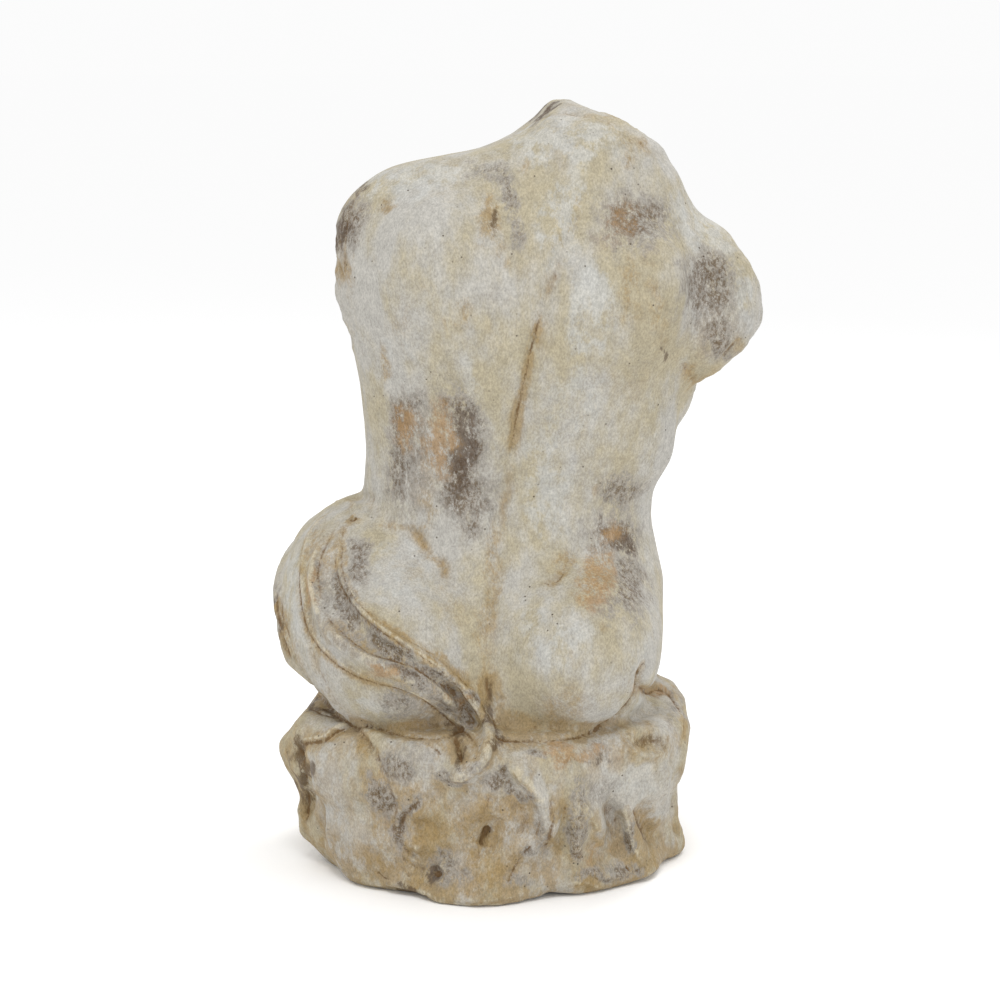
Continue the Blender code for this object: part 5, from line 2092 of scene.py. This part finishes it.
    def openness(self, skin: Skin) -> np.ndarray:
        """Measures how open the skin is to the room.

        Args:
            skin: The skin.

        Returns:
            One where nothing is near, less in hollows.
        """
        tree = skin.tree()
        chosen = np.arange(0, len(skin.points), self.open_every)
        draws = np.random.default_rng(self.seed)
        headings = draws.normal(size=(len(chosen), self.open_rays, 3))
        headings /= np.linalg.norm(headings, axis=2, keepdims=True)
        known = KDTree(len(chosen))
        seen = np.zeros(len(chosen))
        for row, vertex in enumerate(chosen):
            normal = skin.normals[vertex]
            start = Vector(skin.points[vertex] + normal * self.open_start)
            ways = headings[row] + normal * self.open_lean
            hits = [tree.ray_cast(start, Vector(way), self.open_reach)[0] for way in ways.tolist()]
            seen[row] = hits.count(None) / self.open_rays
            known.insert(skin.points[vertex], row)
        known.balance()
        nearest = [known.find(point)[1] for point in skin.points.tolist()]
        return skin.average(seen[nearest], self.open_rounds)

    def stain(
        self,
        skin: Skin,
        even: Skin,
        hollows: dict[str, np.ndarray],
        marks: dict[Mark, np.ndarray],
    ) -> None:
        """Works out where each stain, the painted shade and the painted highlight lie.

        Args:
            skin: The finished skin.
            even: The even skin.
            hollows: What was measured on the even skin.
            marks: What the strokes left.
        """
        nearest = even.nearest(skin.points)
        small, large, seen = (hollows[name][nearest] for name in ("small", "large", "open"))
        fine = ((skin.average(skin.points, self.fine_rounds) - skin.points) * skin.normals).sum(axis=1) / MM
        rock, broken = self.masks["rock"], self.masks["broken"]
        draw = self.weathering_and_painted_light
        crevice = draw.line_dirt * marks[Mark.CORE] + draw.small_hollow_dirt.share(small)
        crevice += (1 - broken) * draw.fine_hollow_dirt.share(fine)
        # Convex edges are lighter: wear, with a painted highlight
        ridge = draw.line_wear_and_highlight * marks[Mark.WORN_AND_HIGHLIT] + draw.small_ridge_wear_and_highlight.share(small)
        ridge += draw.fine_ridge_wear_and_highlight.share(fine)
        # Ochre wash in sheltered and wide hollows, beside lines, on the rock and the breaks, with painted
        # shade towards the foot and on undersides
        wash_and_painted_shade = draw.shelter_wash.share(seen) + draw.wide_hollow_wash.share(large) + marks[Mark.HALO]
        wash_and_painted_shade += draw.foot_darkening.share(skin.points[:, 2]) + draw.underside_painted_shade.share(skin.normals[:, 2])
        wash_and_painted_shade += draw.rock_wash * rock + draw.break_wash * broken
        for name, values in (("crevice", crevice), ("ridge", ridge), ("wash_and_painted_shade", wash_and_painted_shade)):
            self.masks[name] = np.clip(values, 0, 1)
        for stain, values in self.dabbed(skin).items():
            self.masks[stain.value] = np.clip(values, 0, 1)

    def dabbed(self, skin: Skin) -> dict[Stain, np.ndarray]:
        """Works out the dabs, those of the photograph and more on the sides it hides.

        Args:
            skin: The skin.

        Returns:
            For each stain, its share at every vertex.
        """
        found = {stain: np.zeros(len(skin.points)) for stain in Stain}
        wander = [lumps.lift(skin.points) for lumps in self.wander_lumps]
        pixels = self.view.project(skin.points) + self.wander * np.stack(wander, axis=1)
        toward = self.view.place - skin.points
        toward /= np.linalg.norm(toward, axis=1, keepdims=True)
        facing = smooth_step((toward * skin.normals).sum(axis=1), *self.turned)
        for dab in DABS:
            turn = math.radians(dab.tilt)
            offset = pixels - np.array(dab.spot)
            along = (offset[:, 0] * math.cos(turn) + offset[:, 1] * math.sin(turn)) / dab.size[0]
            across = (offset[:, 1] * math.cos(turn) - offset[:, 0] * math.sin(turn)) / dab.size[1]
            oval = np.exp(-self.oval_fall * (along**2 + across**2) ** self.oval_power)
            found[dab.stain] = np.maximum(found[dab.stain], dab.strength * oval * facing)
        hidden = 1 - facing
        draws = np.random.default_rng(self.seed + 1)
        unseen = np.flatnonzero(hidden > self.hidden_from)
        for kind in HIDDEN_DABS:
            for vertex in draws.choice(unseen, kind.count):
                stretch = np.array((1.0, 1.0, draws.uniform(*self.hidden_stretch)))
                reach = kind.size * draws.uniform(*self.hidden_size)
                away = np.linalg.norm((skin.points - skin.points[vertex]) * stretch, axis=1) / reach
                oval = np.exp(-self.hidden_fall * away**self.hidden_power)
                found[kind.stain] = np.maximum(found[kind.stain], kind.strength * oval * hidden)
        return found

    def finished(self, skin: Skin) -> bpy.types.Object:
        """Hands the masks to the mesh and gives it its finish.

        Args:
            skin: The finished skin.

        Returns:
            The piece.
        """
        mesh = skin.mesh
        for name in ("crevice", "ridge", "wash_and_painted_shade", *(stain.value for stain in Stain)):
            layer = mesh.attributes.new(name, "FLOAT", "POINT")
            layer.data.foreach_set("value", self.masks[name].astype(np.float32))
        mesh.name = "seated_torso_stone"
        mesh.polygons.foreach_set("use_smooth", [True] * len(mesh.polygons))
        mesh.materials.clear()
        mesh.materials.append(self.finish.make())
        piece = bpy.data.objects.new("seated_torso_stone", mesh)
        bpy.context.scene.collection.objects.link(piece)
        LOG.info("seated_torso_stone: %d triangles", len(mesh.polygons))
        return piece


@dataclass(frozen=True)
class Lamp:
    """A soft square light."""

    name: str
    place: Place
    size: float
    power: float

    def hang(self, target: Place) -> None:
        """Hangs it and turns it to the target.

        Args:
            target: What it lights.
        """
        data = bpy.data.lights.new(self.name, "AREA")
        data.size = self.size
        data.energy = self.power
        lamp = bpy.data.objects.new(self.name, data)
        lamp.location = self.place
        lamp.rotation_mode = "QUATERNION"
        lamp.rotation_quaternion = (Vector(self.place) - Vector(target)).to_track_quat("Z", "Y")
        bpy.context.scene.collection.objects.link(lamp)


@dataclass(frozen=True)
class Studio:
    """A plain pale floor under soft light."""

    floor_size: float = 60.0
    floor_colour: Colour = (1.0, 1.0, 1.0, 1.0)
    floor_sides: int = 96
    floor_grain: Cloud = Cloud(0.004, 2.0, 0.5)
    floor_span: Span = (0.3, 0.7, 0.995, 1.0)
    sky: Colour = (1.0, 1.0, 1.0, 1.0)
    sky_strength: float = 0.97
    target: Place = (0.0, 0.0, 0.27)
    lamps: tuple[Lamp, ...] = (
        Lamp("key", (0.25, 1.2, 2.1), 0.7, 15.5),
        Lamp("fill", (-1.6, 1.4, 0.7), 1.2, 3.0),
        Lamp("front_key", (-1.0, -1.3, 1.9), 0.8, 14.0),
        Lamp("front_fill", (1.5, -1.3, 0.8), 1.2, 2.0),
    )

    def build(self) -> None:
        """Lays the floor, lights the room and sets how it is shown."""
        self._floor()
        world = bpy.data.worlds.new("pale_room")
        world.use_nodes = True
        background = world.node_tree.nodes["Background"]
        background.inputs["Color"].default_value = self.sky
        background.inputs["Strength"].default_value = self.sky_strength
        bpy.context.scene.world = world
        bpy.context.scene.view_settings.view_transform = "Standard"
        for lamp in self.lamps:
            lamp.hang(self.target)

    def _floor(self) -> None:
        """Lays a round floor under the sculpture."""
        turns = np.linspace(0.0, 2 * math.pi, self.floor_sides + 1)[:-1]
        rim = [(self.floor_size * math.cos(a), self.floor_size * math.sin(a), 0.0) for a in turns]
        mesh = bpy.data.meshes.new("pale_floor")
        mesh.from_pydata(rim, [], [tuple(range(len(rim)))])
        bench = Bench("pale_floor")
        tone = bench.span(bench.cloud(self.floor_grain), *self.floor_span)
        colour = bench.mix(self.floor_colour, tone, 1.0, "MULTIPLY")
        bench.links.new(colour, bench.shader.inputs["Base Color"])
        bench.shader.inputs["Roughness"].default_value = 1.0
        bench.shader.inputs["Specular IOR Level"].default_value = 0.0
        mesh.materials.append(bench.material)
        floor = bpy.data.objects.new("pale_floor", mesh)
        bpy.context.scene.collection.objects.link(floor)


def main() -> None:
    """Builds the camera, the studio and the sculpture in order."""
    logging.basicConfig(level=logging.INFO, format="%(relativeCreated)d ms %(name)s: %(message)s")
    view = PhotoView()
    view.set_camera()
    LOG.info("photo_camera: lens %.1f mm", bpy.context.scene.camera.data.lens)
    Studio().build()
    LOG.info("studio: floor and lights")
    piece = CastTorso(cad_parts["seated_torso"], view, AgedStone()).build()
    LOG.info("%s: done", piece.name)


if __name__ == "__main__":
    main()
